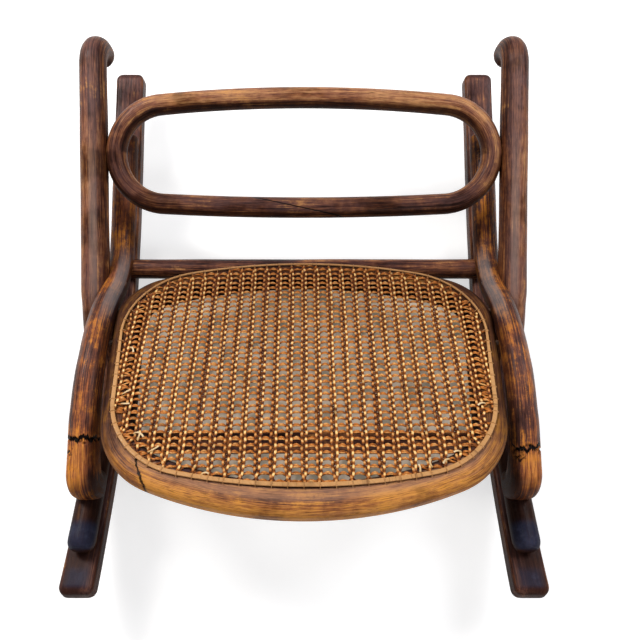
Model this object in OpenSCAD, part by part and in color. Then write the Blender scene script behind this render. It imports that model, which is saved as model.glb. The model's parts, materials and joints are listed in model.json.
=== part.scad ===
// Bentwood rocking footstool with a caned seat and an oval back ring, as an assembly.
// The frame is laid out in the seat's own frame (seat rim top at Z = 0, front towards -Y),
// then leaned back by rest_lean and dropped so that the rockers stand on Z = 0.

/* [Rest] */
// how far the seat leans back when the stool stands still, degrees
rest_lean = 23.95; // [22:0.05:25]

/* [Rockers] */
// centre of each rocker, to the side of the middle
rocker_x = 188.1; // [186:0.1:190]
// width of the flat runner
rocker_w = 29; // [26:0.5:32]
// thickness of the flat runner
rocker_t = 17.5; // [16:0.5:19]
// rounding of the runner's long edges
rocker_edge = 4; // [2:0.5:6]
// radius of the rocking curve
rocker_r = 650; // [600:5:700]
// turn of the rocking curve, degrees
rocker_turn = 32.9; // [31:0.1:34]
// flat length at the toe
rocker_toe = 4; // [2:1:10]
// straight length at the heel
rocker_heel = 161; // [150:1:170]
// rounding of the runner's ends, seen from above
rocker_nose = 8; // [4:1:12]

/* [Side rails] */
// centre of each side rail, to the side of the middle
rail_x = 185.3; // [185:0.1:188]
// rod diameter along the heel and the seat
rail_d = 23.6; // [22:0.2:24]
// rod diameter at the front bend
rail_front_d = 26.6; // [25:0.2:28]
// straight lap on the rocker's heel
rail_lap = 108; // [100:1:115]
// radius and turn of the dip where the rail leaves the rocker
rail_dip_r = 80; // [70:1:100]
// turn of the dip, degrees
rail_dip_turn = 54.4; // [50:0.2:58]
// radius of the rail beside the seat
rail_seat_r = 120; // [110:5:140]
// turn beside the seat, degrees
rail_seat_turn = 19.4; // [17:0.1:22]
// length of the sweep down to the front
rail_sweep = 134.4; // [125:0.2:145]
// turn of the sweep, degrees
rail_sweep_turn = 43.3; // [40:0.1:46]
// radius of the tight bend at the tip
rail_tip_r = 15; // [14:0.5:20]
// turn of the tight bend, degrees
rail_tip_turn = 72; // [60:1:80]

/* [Back posts] */
// centre of each back post, to the side of the middle
post_x = 204.3; // [203:0.1:206]
// rod diameter behind the seat
post_d = 27; // [25:0.5:28]
// rod diameter at the top
post_top_d = 26; // [24:0.5:27]
// rod diameter of the foot that lies on the rocker
foot_d = 23; // [21:0.5:24]
// slope of the posts and the back ring to the seat, degrees
post_slope = 42.3; // [41:0.1:44]
// straight length from the crossing up to the scroll
post_len = 182.8; // [170:0.2:190]
// radius of the scroll at the top
scroll_r = 21; // [18:0.5:26]
// turn of the scroll, degrees
scroll_turn = 105; // [80:5:150]

/* [Back ring] */
// diameter of the ring's rod
ring_d = 20; // [18:0.5:22]
// radius of the round ends, on the centre line
ring_end_r = 48; // [46:0.5:52]
// distance of the ring's centre behind the seat's middle
ring_y = 199.7; // [195:0.1:204]
// height of the ring's centre over the rim's top
ring_z = 76; // [72:0.1:80]
// how far the ring's ends are let into the posts
ring_let_in = 1.6; // [1:0.1:2.5]
// bow of the upper rail
ring_top_r = 1450; // [1200:50:2000]
// bow of the lower rail
ring_low_r = 2600; // [2000:100:4000]
// depth of the flat where the ring meets each post
ring_flat = 0.6; // [0.3:0.1:1]

/* [Seat rim] */
// width of the rim
rim_w = 27.5; // [26:0.5:30]
// thickness of the rim
rim_t = 17.5; // [16:0.5:19]
// rounding of the rim's edges
rim_edge = 7; // [5:0.5:8]
// front centre of the rim's outer edge
rim_front = -134; // [-136:0.5:-130]
// radius of the front bow
rim_front_r = 328; // [300:2:360]
// radius of the front corners
rim_corner_r = 69.8; // [66:0.2:74]
// how far inside the rails the front corners end
rim_inside = 7.52; // [6:0.1:9]
// heading of the sides after the corners, degrees
rim_side_dir = 84.74; // [83:0.1:86]
// straight length of the sides
rim_side = 100.6; // [98:0.2:104]
// radius of the rear corners
rim_rear_r = 55.9; // [54:0.1:60]
// turn of the rear corners, degrees
rim_rear_turn = 76.8; // [74:0.1:79]

/* [Cane] */
// front centre of the binding's outer edge
cane_front = -113; // [-115:0.5:-110]
// spacing of the cane holes in the rim
hole_pitch = 12; // [11:0.5:14]
// thickness of the woven panel over the rim
cane_t = 1.6; // [1.4:0.1:2]
// Thickness of the pressed border that the binding lies on
border_t = 1.3; // [1:0.1:1.3]
// width of the binding cane
binding_w = 4.6; // [4:0.1:6]
// thickness of the binding cane
binding_t = 1.4; // [1:0.1:2]
// spacing of the gaps of the open net
net_pitch = 14.6; // [14:0.1:20]
// width of one gap, corner to corner
net_gap = 12.4; // [9:0.1:13]

/* [Stretchers] */
// diameter of both stretchers
bar_d = 20; // [18:0.5:22]
// rear stretcher: distance behind the seat's middle
rear_bar_y = 136.2; // [135:0.1:139]
// rear stretcher: distance under the rim's top
rear_bar_z = -20.2; // [-22:0.1:-19]
// front stretcher: distance from the seat's middle
front_bar_y = -35; // [-55:1:-25]

/* [Screws] */
// shank of the wood screws
screw_d = 4; // [3.5:0.1:5]
// head of the wood screws
screw_head = 8; // [7:0.5:9]
// depth that the heads are sunk under the wood
screw_sink = 0.6; // [0.2:0.1:1]

/* [Hidden] */
$fn = 64;

hair = 0.02;

// how the frame stands: lean, then down and back so that its box sits centred on the floor
toe = [-160, -113.4];
rock_c = [toe[0] + rocker_toe, toe[1] + rocker_r];
heel = [rock_c[0] + rocker_r * sin(rocker_turn) + rocker_heel * cos(rocker_turn),
  rock_c[1] - rocker_r * cos(rocker_turn) + rocker_heel * sin(rocker_turn)];
function leaned_y(p) = p[0] * cos(rest_lean) + p[1] * sin(rest_lean);
function leaned_z(p) = p[1] * cos(rest_lean) - p[0] * sin(rest_lean);
mid_y = (leaned_y(toe) + leaned_y(heel)) / 2;
floor_z = leaned_z(rock_c) - rocker_r;

module stand() {
  translate([0, -mid_y, -floor_z]) rotate([-rest_lean, 0, 0]) children();
}

module both() {
  children();
  mirror([1, 0, 0]) children();
}

// A rod is a list of steps [length, turn up, turn outwards, diameter at start, diameter at end].
// It starts at [x, y, z] and points along +Y, raised by its slope; a step without a turn may taper.
module from_point(p, slope) {
  translate(p) rotate([slope - 90, 0, 0]) rotate([0, 0, -90]) children();
}

module after_step(s) {
  turn = norm([s[1], s[2]]);
  side = atan2(s[2], s[1]);
  r = turn == 0 ? 0 : s[0] * 180 / PI / turn;
  if (turn == 0) translate([0, 0, s[0]]) children();
  else rotate([0, 0, side]) translate([r, 0, 0]) rotate([0, turn, 0])
    translate([-r, 0, 0]) rotate([0, 0, -side]) children();
}

module rod_step(s) {
  turn = norm([s[1], s[2]]);
  r = turn == 0 ? 0 : s[0] * 180 / PI / turn;
  if (turn == 0) cylinder(h = s[0] - hair, d1 = s[3], d2 = s[4]);
  else rotate([0, 0, atan2(s[2], s[1])]) translate([r, 0, 0]) rotate([90, 0, 180])
    rotate_extrude(angle = turn * (1 - hair / s[0])) translate([r, 0]) circle(d = s[3]);
}

// steps meet end to end with a hair between them, joined by a core inside
module rod(run, i = 0) {
  rod_step(run[i]);
  if (i + 1 < len(run)) after_step(run[i]) {
    translate([0, 0, -1.2]) cylinder(h = 2.4, d = run[i + 1][3] - 1.5);
    rod(run, i + 1);
  }
}

// a domed end with a core into the rod before it
module round_end(d) {
  translate([0, 0, -1.2]) cylinder(h = 2.4, d = d - 1.5);
  difference() {
    sphere(d = d);
    translate([0, 0, -d]) cube(2 * d, center = true);
  }
}

module run_end(run, i = 0) {
  if (i < len(run)) after_step(run[i]) run_end(run, i + 1) children();
  else children();
}

// a bar section with round corners
module rounded(a, b, r) {
  square([a - 2 * r, b], center = true);
  square([a, b - 2 * r], center = true);
  for (i = [-1, 1], j = [-1, 1]) translate([i * (a / 2 - r), j * (b / 2 - r)]) circle(r = r, $fn = 24);
}

// Wood screw, countersunk: the head's face at the origin, the point along +Z.
module screw(l) {
  cylinder(h = 3, d1 = screw_head, d2 = screw_d, $fn = 32);
  translate([0, 0, 3]) cylinder(h = l - 7, d = screw_d, $fn = 32);
  translate([0, 0, l - 4]) cylinder(h = 4, d1 = screw_d, d2 = 0.8, $fn = 32);
}

module screw_hole(l) {
  screw(l);
  translate([0, 0, -12]) cylinder(h = 12, d = screw_head, $fn = 32);
}

// Rockers: a flat bar on a long arc, with a straight heel. The bar is drawn in the side plane.
rocker_mid = rocker_r - rocker_t / 2;
rocker_run = [[rocker_toe, 0, 0], [rocker_mid * rocker_turn * PI / 180, rocker_turn, 0], [rocker_heel, 0, 0]];

module rocker_start() {
  from_point([rocker_x, toe[0], toe[1] + rocker_t / 2], 0) children();
}

module bar(run, i = 0) {
  s = run[i];
  r = s[1] == 0 ? 0 : s[0] * 180 / PI / s[1];
  if (s[1] == 0) linear_extrude(s[0] - hair) rounded(rocker_t, rocker_w, rocker_edge);
  else translate([r, 0, 0]) rotate([90, 0, 180]) rotate_extrude(angle = s[1] * (1 - hair / s[0]), $fn = 360)
    translate([r, 0]) rounded(rocker_t, rocker_w, rocker_edge);
  if (i + 1 < len(run)) after_step(s) {
    linear_extrude(2.4, center = true) square([rocker_t - 4, rocker_w - 4], center = true);
    bar(run, i + 1);
  }
}

// what is cut from a runner's end to round its corners; the end's face lies at z = 0
module nose_cut() {
  for (i = [-1, 1]) translate([-rocker_t, i * (rocker_w / 2 - rocker_nose), rocker_nose]) difference() {
    translate([0, i < 0 ? -rocker_nose - 1 : 0, -rocker_nose - 1])
      cube([2 * rocker_t, rocker_nose + 1, rocker_nose + 1]);
    rotate([0, 90, 0]) translate([0, 0, -1]) cylinder(h = 2 * rocker_t + 2, r = rocker_nose);
  }
}

module rocker_blank() {
  difference() {
    rocker_start() bar(rocker_run);
    rocker_start() nose_cut();
    rocker_start() run_end(rocker_run) rotate([180, 0, 0]) nose_cut();
  }
}

// a place on the runner's underside, a given angle along the rocking curve, looking straight up from it
module under_rocker(x, turn) {
  translate([x, rock_c[0], rock_c[1]]) rotate([turn, 0, 0]) translate([0, 0, -rocker_r]) children();
}

// Side rails: from the heel of the rocker, past the seat, down to the rounded tip.
rail_seat = 1.1;
rail_h = rocker_t + rail_d / 2 - rail_seat;
rail_back = 64.7 / cos(rocker_turn);
rail_start = [heel[0] - rail_back * cos(rocker_turn) - rail_h * sin(rocker_turn),
  heel[1] - rail_back * sin(rocker_turn) + rail_h * cos(rocker_turn)];
rail_grow = (rail_front_d - rail_d) / 3;
rail_taper = 8;
rail_bow = rail_sweep / 3 - rail_taper;
rail_run = concat(
  [[3, 0, 0, rail_d - 4, rail_d], [rail_lap, 0, 0, rail_d, rail_d],
   [rail_dip_r * rail_dip_turn * PI / 180, -rail_dip_turn, 0, rail_d],
   [rail_seat_r * rail_seat_turn * PI / 180, rail_seat_turn, 0, rail_d]],
  [for (i = [0:5]) i % 2 == 0
    ? [rail_bow, rail_sweep_turn / 3, 0, rail_d + rail_grow * i / 2]
    : [rail_taper, 0, 0, rail_d + rail_grow * (i - 1) / 2, rail_d + rail_grow * (i + 1) / 2]],
  [[rail_tip_r * rail_tip_turn * PI / 180, rail_tip_turn, 0, rail_front_d]]);

module rail_blank() {
  from_point([rail_x, rail_start[0], rail_start[1]], 180 + rocker_turn) {
    rod(rail_run);
    run_end(rail_run) round_end(rail_front_d);
  }
}

// Back posts: a foot along the rocker, an outward sweep, a straight post and a scroll.
foot_x = 186.7;
foot_y = -127;
foot_gap = 0.1;
foot_r = rocker_r - rocker_t - foot_d / 2 - foot_gap;
foot_slope = asin((foot_y - rock_c[0]) / foot_r);
foot_start = [foot_y, rock_c[1] - foot_r * cos(foot_slope)];
foot_lap = 115;
post_roll = 2.5;
foot_run = [[2, 0, 0, foot_d - 4, foot_d], [foot_lap, foot_lap * 180 / PI / foot_r, 0, foot_d]];
post_mid_d = (foot_d + post_d) / 2;
post_sway = (post_x - foot_x) / 17.6;
post_run = [
  [56, 8, 16.242 * post_sway, foot_d], [6, 0, 0, foot_d, post_mid_d],
  [56, 19.346, -15.066 * post_sway, post_mid_d],
  [6, 0, 0, post_mid_d, post_d], [40, 2.001, 0, post_d], [post_len, 0, 0, post_d, post_top_d],
  [scroll_r * scroll_turn * PI / 180, -scroll_turn * cos(post_roll), -scroll_turn * sin(post_roll), post_top_d]];

module foot_blank() {
  from_point([foot_x, foot_start[0], foot_start[1]], foot_slope) translate([0, 0, -2]) rod(foot_run);
}

module post_blank() {
  foot_blank();
  from_point([foot_x, foot_start[0], foot_start[1]], foot_slope) translate([0, 0, -2]) run_end(foot_run) {
    translate([0, 0, -1.2]) cylinder(h = 2.4, d = foot_d - 1.5);
    rod(post_run);
    run_end(post_run) round_end(post_top_d);
  }
}

// The crossing of rail and post: each is notched down to one common plane.
cross_x = 194.2;
cross = [104, -11];

module post_seat() {
  translate([cross_x, cross[0], cross[1]]) rotate([post_slope - 1, 0, 0]) translate([0, -40, -13])
    cube([20, 80, 26]);
}

module rail_seat_in_post() {
  translate([cross_x - 20, cross[0], cross[1]]) rotate([-4, 0, 0]) translate([0, -28, -12.5])
    cube([20, 56, 25]);
}

// Back ring: an oval in the plane of the posts.
ring_half = post_x - post_d / 2 + ring_let_in;
ring_mid = ring_half - ring_d / 2;
ring_a = asin((ring_mid - ring_end_r) / (ring_low_r - ring_end_r));
ring_b = asin((ring_mid - ring_end_r) / (ring_top_r - ring_end_r));
ring_rise = ring_low_r * (1 - cos(ring_a)) + ring_end_r * (cos(ring_a) + cos(ring_b))
  + ring_top_r * (1 - cos(ring_b));

module ring_plane() {
  translate([0, ring_y, ring_z]) rotate([post_slope, 0, 0]) children();
}

// an arc of a section in a plane, half a hair short at both ends
module arc(c, r, from, turn) {
  h = hair * 90 / PI / r;
  translate(c) rotate([0, 0, from + h]) rotate_extrude(angle = turn - 2 * h, $fn = r > 200 ? 360 : 96)
    translate([r, 0]) children();
}

// a core across the joint at the start or the end of such an arc
module arc_core(c, r, at) {
  translate(c) rotate([0, 0, at]) translate([r, 0, 0]) rotate([90, 0, 0]) linear_extrude(2.4, center = true)
    children();
}

module ring_blank() {
  low = -ring_rise / 2;
  end_c = [ring_mid - ring_end_r, low + ring_low_r - (ring_low_r - ring_end_r) * cos(ring_a), 0];
  ring_plane() {
    arc([0, low + ring_low_r, 0], ring_low_r, -90 - ring_a, 2 * ring_a) circle(d = ring_d);
    arc([0, -low - ring_top_r, 0], ring_top_r, 90 - ring_b, 2 * ring_b) circle(d = ring_d);
    both() {
      arc(end_c, ring_end_r, ring_a - 90, 180 - ring_a - ring_b) circle(d = ring_d, $fn = 48);
      for (a = [ring_a - 90, 90 - ring_b]) arc_core(end_c, ring_end_r, a) circle(d = ring_d - 1.5);
    }
  }
}

// Outlines of the rim and of the binding: front bow, front corner, side, rear corner, rear bow.
// [front, bow radius, bow turn, corner radius, corner turn, side, rear corner radius, rear corner turn]
rim_front_turn = asin((rail_x - rail_d / 2 - rim_inside - rim_corner_r * sin(rim_side_dir))
  / (rim_front_r - rim_corner_r));
rim_corner_turn = rim_side_dir - rim_front_turn;
rim = [rim_front, rim_front_r, rim_front_turn, rim_corner_r, rim_corner_turn, rim_side, rim_rear_r, rim_rear_turn];
cane = [cane_front, 500, 11.37, 76.1, 74.06, 68.1, 72.3, 81.48];

function dir(a) = [cos(a), sin(a)];
function corner_c(p) = [0, p[0] + p[1]] + (p[1] - p[3]) * dir(p[2] - 90);
function rear_c(p) = corner_c(p) + p[5] * dir(p[2] + p[4]) + (p[3] - p[6]) * dir(p[2] + p[4] - 90);
function last_turn(p) = 180 - p[2] - p[4] - p[7];
function bow_r(p) = p[6] + rear_c(p)[0] / sin(last_turn(p));
function bow_y(p) = rear_c(p)[1] - (bow_r(p) - p[6]) * cos(last_turn(p));

// lengths of the five stretches of half an outline, moved in by o
function stretches(p, o) = [(p[1] - o) * p[2] * PI / 180, (p[3] - o) * p[4] * PI / 180, p[5],
  (p[6] - o) * p[7] * PI / 180, (bow_r(p) - o) * last_turn(p) * PI / 180];
function half_length(p, o) = stretches(p, o) * [1, 1, 1, 1, 1];
// place and heading, s along half an outline moved in by o
function on_arc(c, r, from, s) = let(a = from + s * 180 / PI / r) concat(c + r * dir(a), a + 90);
function at(p, o, s) = let(l = stretches(p, o), a = p[2], b = a + p[4])
  s <= l[0] ? on_arc([0, p[0] + p[1]], p[1] - o, -90, s)
  : s <= l[0] + l[1] ? on_arc(corner_c(p), p[3] - o, a - 90, s - l[0])
  : s <= l[0] + l[1] + l[2] ? concat(corner_c(p) + (p[3] - o) * dir(b - 90) + (s - l[0] - l[1]) * dir(b), b)
  : s <= l[0] + l[1] + l[2] + l[3] ? on_arc(rear_c(p), p[6] - o, b - 90, s - l[0] - l[1] - l[2])
  : on_arc([0, bow_y(p)], bow_r(p) - o, b + p[7] - 90, s - l[0] - l[1] - l[2] - l[3]);
// n + 1 even places on half an outline, and the closed outline as points
function half_places(p, o, n) = [for (i = [0:n]) at(p, o, half_length(p, o) * i / n)];
function closed(p, o, n) = let(h = half_places(p, o, n))
  concat([for (q = h) [q[0], q[1]]], [for (i = [n - 1:-1:1]) [-h[i][0], h[i][1]]]);

// a section carried round an outline, its centre o inside the edge
module round_outline(p, o, z, size, r) {
  b = p[2] + p[4];
  translate([0, 0, z]) {
    arc([0, p[0] + p[1], 0], p[1] - o, -90 - p[2], 2 * p[2]) rounded(size[0], size[1], r);
    arc([0, bow_y(p), 0], bow_r(p) - o, 90 - last_turn(p), 2 * last_turn(p)) rounded(size[0], size[1], r);
    both() {
      arc(concat(corner_c(p), 0), p[3] - o, p[2] - 90, p[4]) rounded(size[0], size[1], r);
      arc(concat(rear_c(p), 0), p[6] - o, b - 90, p[7]) rounded(size[0], size[1], r);
      translate(concat(corner_c(p) + (p[3] - o) * dir(b - 90), 0)) rotate([0, 0, b]) rotate([90, 0, 90])
        translate([0, 0, hair / 2]) linear_extrude(p[5] - hair) rounded(size[0], size[1], r);
      for (a = [p[2] - 90, b - 90]) arc_core(concat(corner_c(p), 0), p[3] - o, a)
        square(size - [1, 1] * min(size) / 2, center = true);
      for (a = [b - 90, b + p[7] - 90]) arc_core(concat(rear_c(p), 0), p[6] - o, a)
        square(size - [1, 1] * min(size) / 2, center = true);
    }
  }
}

// Screw places, each drawn on the right side with children at the head, looking into the wood.
front_bar_z = rock_c[1] - sqrt(pow(foot_r, 2) - pow(front_bar_y - rock_c[0], 2));
module rail_lap_places() {
  for (s = [rail_back + 20, rail_back + 72]) rocker_start() run_end(rocker_run)
    translate([-rocker_t / 2 + screw_sink, rail_x - rocker_x, -s]) rotate([0, 90, 0]) children();
}

module foot_places() {
  for (y = [-112, -44]) under_rocker(foot_x, asin((y - rock_c[0]) / rocker_r)) translate([0, 0, screw_sink])
    children();
}

module tip_places() {
  under_rocker(foot_x, asin((-81 - rock_c[0]) / rocker_r)) translate([0, 0, rocker_t + screw_sink]) children();
}

module crossing_places() {
  translate([rail_x - rail_d / 2 + screw_sink, cross[0], cross[1]]) rotate([0, 90, 0]) children();
}

module ring_places() {
  translate([post_x + post_d / 2 - screw_sink, ring_y, ring_z]) rotate([0, -90, 0]) children();
}

module seat_side_places() {
  for (y = [28, 66]) translate([rail_x + rail_d / 2 - 2, y, -4]) rotate([0, -90, 0]) children();
}

module rear_bar_place() {
  translate([rail_x + rail_d / 2 - 2, rear_bar_y, -15]) rotate([0, -90, 0]) children();
}

module front_bar_place() {
  translate([foot_x + foot_d / 2 - 1.2, front_bar_y, front_bar_z]) rotate([0, -90, 0]) children();
}

// Pieces
module rocker() {
  color("#4a2c20") difference() {
    rocker_blank();
    rail_lap_places() screw_hole(32);
    foot_places() screw_hole(31);
  }
}

module side_rail() {
  color("#6b3a1f") difference() {
    rail_blank();
    rocker_blank();
    foot_blank();
    post_seat();
    rail_lap_places() screw_hole(32);
    tip_places() screw_hole(34);
    crossing_places() screw_hole(34);
    seat_side_places() screw_hole(34);
    rear_bar_place() screw_hole(40);
  }
}

module back_post() {
  color("#5a3323") difference() {
    post_blank();
    rail_seat_in_post();
    ring_plane() translate([ring_half - ring_flat - 20, -14, -16]) cube([20, 28, 32]);
    foot_places() screw_hole(31);
    tip_places() screw_hole(34);
    crossing_places() screw_hole(34);
    ring_places() screw_hole(38);
    front_bar_place() screw_hole(40);
  }
}

module back_ring() {
  color("#4e2b1f") difference() {
    ring_blank();
    ring_plane() both() translate([ring_half - ring_flat, -20, -20]) cube([10, 40, 40]);
    both() ring_places() screw_hole(38);
  }
}

loop_count = round(2 * half_length(cane, binding_w / 2) / hole_pitch / 2);
loop_places = half_places(cane, binding_w / 2, loop_count);

module seat_ring() {
  color("#7a451f") difference() {
    round_outline(rim, rim_w / 2, -rim_t / 2, [rim_w, rim_t], rim_edge);
    both() seat_side_places() screw_hole(34);
  }
}

// The woven panel: a thin sheet over the rim with an even net of gaps inside it.
net_in = rim_w + 5;
cane_out = 1.4;
binding_gap = 0.3;
loop_w = 1.8;
loop_leg = 1;
loop_t = 0.6;

function inside(q, pts) = let(n = len(pts)) [for (i = [0:n - 1]) let(a = pts[i], b = pts[(i + 1) % n])
  if ((a[1] > q[1]) != (b[1] > q[1]) && q[0] < a[0] + (q[1] - a[1]) * (b[0] - a[0]) / (b[1] - a[1])) 1];

module cane_panel() {
  field = closed(rim, net_in, 36);
  color("#c98a3f") difference() {
    linear_extrude(cane_t) difference() {
      polygon(closed(cane, -cane_out, 40));
      for (i = [-12:12], j = [-10:10])
        if (len(inside([i * net_pitch, j * net_pitch], field)) % 2 == 1)
          translate([i, j] * net_pitch) circle(d = net_gap, $fn = 4);
    }
    translate([0, 0, border_t]) linear_extrude(1) difference() {
      polygon(closed(cane, -cane_out - 1, 40));
      polygon(closed(cane, binding_w + loop_leg + binding_gap, 40));
    }
  }
}

module binding_cane() {
  color("#d9a060") round_outline(cane, binding_w / 2, border_t + binding_t / 2, [binding_w, binding_t], 0.6);
}

// One loop: a small staple over the binding, standing on the panel.
module binding_loop() {
  translate([-loop_w / 2, -binding_w / 2 - loop_leg, 0]) {
    cube([loop_w, loop_leg, binding_t + loop_t]);
    translate([0, binding_w + loop_leg, 0]) cube([loop_w, loop_leg, binding_t + loop_t]);
    translate([0, 0, binding_t]) cube([loop_w, binding_w + 2 * loop_leg, loop_t]);
  }
}

module binding_loops() {
  color("#e0ad6c") for (i = [0:loop_count], side = [-1, 1]) if (side > 0 || (i > 0 && i < loop_count))
    let(q = loop_places[i])
      translate([side * q[0], q[1], border_t]) rotate([0, 0, side * q[2]]) binding_loop();
}

module rear_stretcher() {
  color("#46281d") difference() {
    translate([-182, rear_bar_y, rear_bar_z]) rotate([0, 90, 0]) cylinder(h = 364, d = bar_d);
    both() rail_blank();
    both() rear_bar_place() screw_hole(40);
  }
}

module front_stretcher() {
  color("#46281d") difference() {
    translate([-foot_x + 8, front_bar_y, front_bar_z]) rotate([0, 90, 0])
      cylinder(h = 2 * foot_x - 16, d = bar_d);
    both() foot_blank();
    both() front_bar_place() screw_hole(40);
  }
}

module screws() {
  color("#8d8a84") both() children();
}

stand() mirror([1, 0, 0]) rocker();  // left_rocker
stand() rocker();  // right_rocker
stand() mirror([1, 0, 0]) side_rail();  // left_side_rail
stand() side_rail();  // right_side_rail
stand() mirror([1, 0, 0]) back_post();  // left_back_post
stand() back_post();  // right_back_post
stand() back_ring();
stand() seat_ring();
stand() cane_panel();
stand() binding_cane();
stand() binding_loops();
stand() rear_stretcher();
stand() front_stretcher();
stand() screws() rail_lap_places() screw(32);  // rail_lap_screws
stand() screws() foot_places() screw(31);  // foot_screws
stand() screws() tip_places() screw(34);  // tip_screws
stand() screws() crossing_places() screw(34);  // crossing_screws
stand() screws() ring_places() screw(38);  // ring_screws
stand() screws() seat_side_places() screw(34);  // seat_side_screws
stand() screws() {  // stretcher_screws
  rear_bar_place() screw(40);
  front_bar_place() screw(40);
}
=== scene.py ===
"""Dresses the bentwood rocking footstool: bent rods with running grain, a caned seat, worn varnish.

Lengths are millimetres in the seat's frame (rim top at z = 0, front towards -y), as in the CAD
source, and Rest.stand() turns them into the row's metres, where the stool leans back at rest.
"""

from __future__ import annotations

import json
import logging
import math
import random
from dataclasses import dataclass, replace
from enum import Enum
from functools import partial
from typing import Callable, Sequence, Union

import bpy
import numpy as np
from mathutils import Matrix, Vector

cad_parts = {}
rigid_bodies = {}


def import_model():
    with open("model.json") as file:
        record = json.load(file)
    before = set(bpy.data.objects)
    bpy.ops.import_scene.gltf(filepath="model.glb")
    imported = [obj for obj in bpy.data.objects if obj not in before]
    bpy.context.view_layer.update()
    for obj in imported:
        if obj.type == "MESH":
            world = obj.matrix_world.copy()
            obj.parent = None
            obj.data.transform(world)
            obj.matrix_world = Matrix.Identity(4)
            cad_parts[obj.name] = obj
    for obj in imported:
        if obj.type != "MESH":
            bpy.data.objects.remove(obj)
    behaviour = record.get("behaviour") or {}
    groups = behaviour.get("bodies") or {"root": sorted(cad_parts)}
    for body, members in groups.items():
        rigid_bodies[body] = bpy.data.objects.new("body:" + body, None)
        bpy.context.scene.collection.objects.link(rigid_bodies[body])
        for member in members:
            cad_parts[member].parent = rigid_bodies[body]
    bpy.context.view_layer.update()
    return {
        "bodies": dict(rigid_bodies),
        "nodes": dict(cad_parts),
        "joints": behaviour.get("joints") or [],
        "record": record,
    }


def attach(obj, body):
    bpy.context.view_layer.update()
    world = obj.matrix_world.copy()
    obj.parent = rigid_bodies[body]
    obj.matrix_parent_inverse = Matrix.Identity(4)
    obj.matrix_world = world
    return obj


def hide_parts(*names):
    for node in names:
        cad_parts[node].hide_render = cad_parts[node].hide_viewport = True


log = logging.getLogger("footstool")
Array = np.ndarray
Colour = tuple[float, float, float]

RUNNER = 17.5  # thickness of the rockers
STATION = 2.5  # spacing of a rod's stations
FINE_STATION = 0.6  # the same where a rod is cracked
HOLES = 78  # round the seat
MIRROR_SHIFT = 1700.0  # grain offset of a mirrored piece, so that its figure differs


class Side(Enum):
    """Which half of the mirrored frame a piece belongs to."""

    LEFT = -1.0
    RIGHT = 1.0

    @property
    def word(self) -> str:
        """The side as it is written in node names."""
        return self.name.lower()

    def half(self, skin: "Skin") -> "Skin":
        """This side's copy of a right-hand skin."""
        return skin if self is Side.RIGHT else skin.mirrored()


# ---- how the stool stands


@dataclass(frozen=True)
class Rest:
    """The rockers' curve and the lean that the stool takes by itself."""

    lean: float = 23.95
    toe: tuple[float, float] = (-160.0, -113.4)
    toe_flat: float = 4.0
    curve_r: float = 650.0
    curve_turn: float = 32.9
    heel_flat: float = 161.0

    @property
    def centre(self) -> tuple[float, float]:
        """Centre of the rocking curve, (y, z)."""
        return self.toe[0] + self.toe_flat, self.toe[1] + self.curve_r

    @property
    def heel(self) -> tuple[float, float]:
        """Rear end of the rockers' underside, (y, z).

        Returns:
            The pair, before the lean.
        """
        a = math.radians(self.curve_turn)
        y, z = self.centre
        return (y + self.curve_r * math.sin(a) + self.heel_flat * math.cos(a),
                z - self.curve_r * math.cos(a) + self.heel_flat * math.sin(a))

    def _leaned(self, y: float, z: float) -> tuple[float, float]:
        """A point of the side plane after the lean."""
        c, s = math.cos(math.radians(self.lean)), math.sin(math.radians(self.lean))
        return y * c + z * s, z * c - y * s

    def matrix(self) -> Matrix:
        """Seat-frame millimetres to row-frame metres.

        Returns:
            The matrix that leans, centres and scales the stool and sets it on the floor.
        """
        middle = (self._leaned(*self.toe)[0] + self._leaned(*self.heel)[0]) / 2
        floor = self._leaned(*self.centre)[1] - self.curve_r
        place = Matrix.Translation((0, -middle, -floor))
        return Matrix.Scale(0.001, 4) @ place @ Matrix.Rotation(math.radians(-self.lean), 4, "X")

    def stand(self, points: Array) -> Array:
        """Places seat-frame points in the row's frame.

        Args:
            points: points in millimetres, the last axis of length 3.

        Returns:
            The same points in metres, as the stool stands.
        """
        m = np.array(self.matrix())
        return points @ m[:3, :3].T + m[:3, 3]


REST = Rest()


# ---- centre lines


@dataclass(frozen=True)
class Step:
    """One stretch of a rod: its length, its turns up and outwards in degrees, its end diameters."""

    length: float
    up: float = 0.0
    out: float = 0.0
    d0: float = 20.0
    d1: float | None = None


@dataclass
class Line:
    """Stations along a rod: place, side and up directions, length from the start, diameter."""

    place: Array
    side: Array
    up: Array
    s: Array
    d: Array
    closed: bool = False

    @property
    def length(self) -> float:
        """Full length of the line, with the stretch that closes it."""
        gap = np.linalg.norm(self.place[0] - self.place[-1]) if self.closed else 0.0
        return float(self.s[-1] + gap)


def smoothed(values: Array, reach: int = 4) -> Array:
    """A running mean that keeps the ends.

    Args:
        values: numbers in order.
        reach: how many neighbours count on each side.

    Returns:
        As many numbers.
    """
    kernel = np.hanning(2 * reach + 3)[1:-1]
    padded = np.concatenate([np.full(reach, values[0]), values, np.full(reach, values[-1])])
    return np.convolve(padded, kernel / kernel.sum(), "valid")


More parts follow.
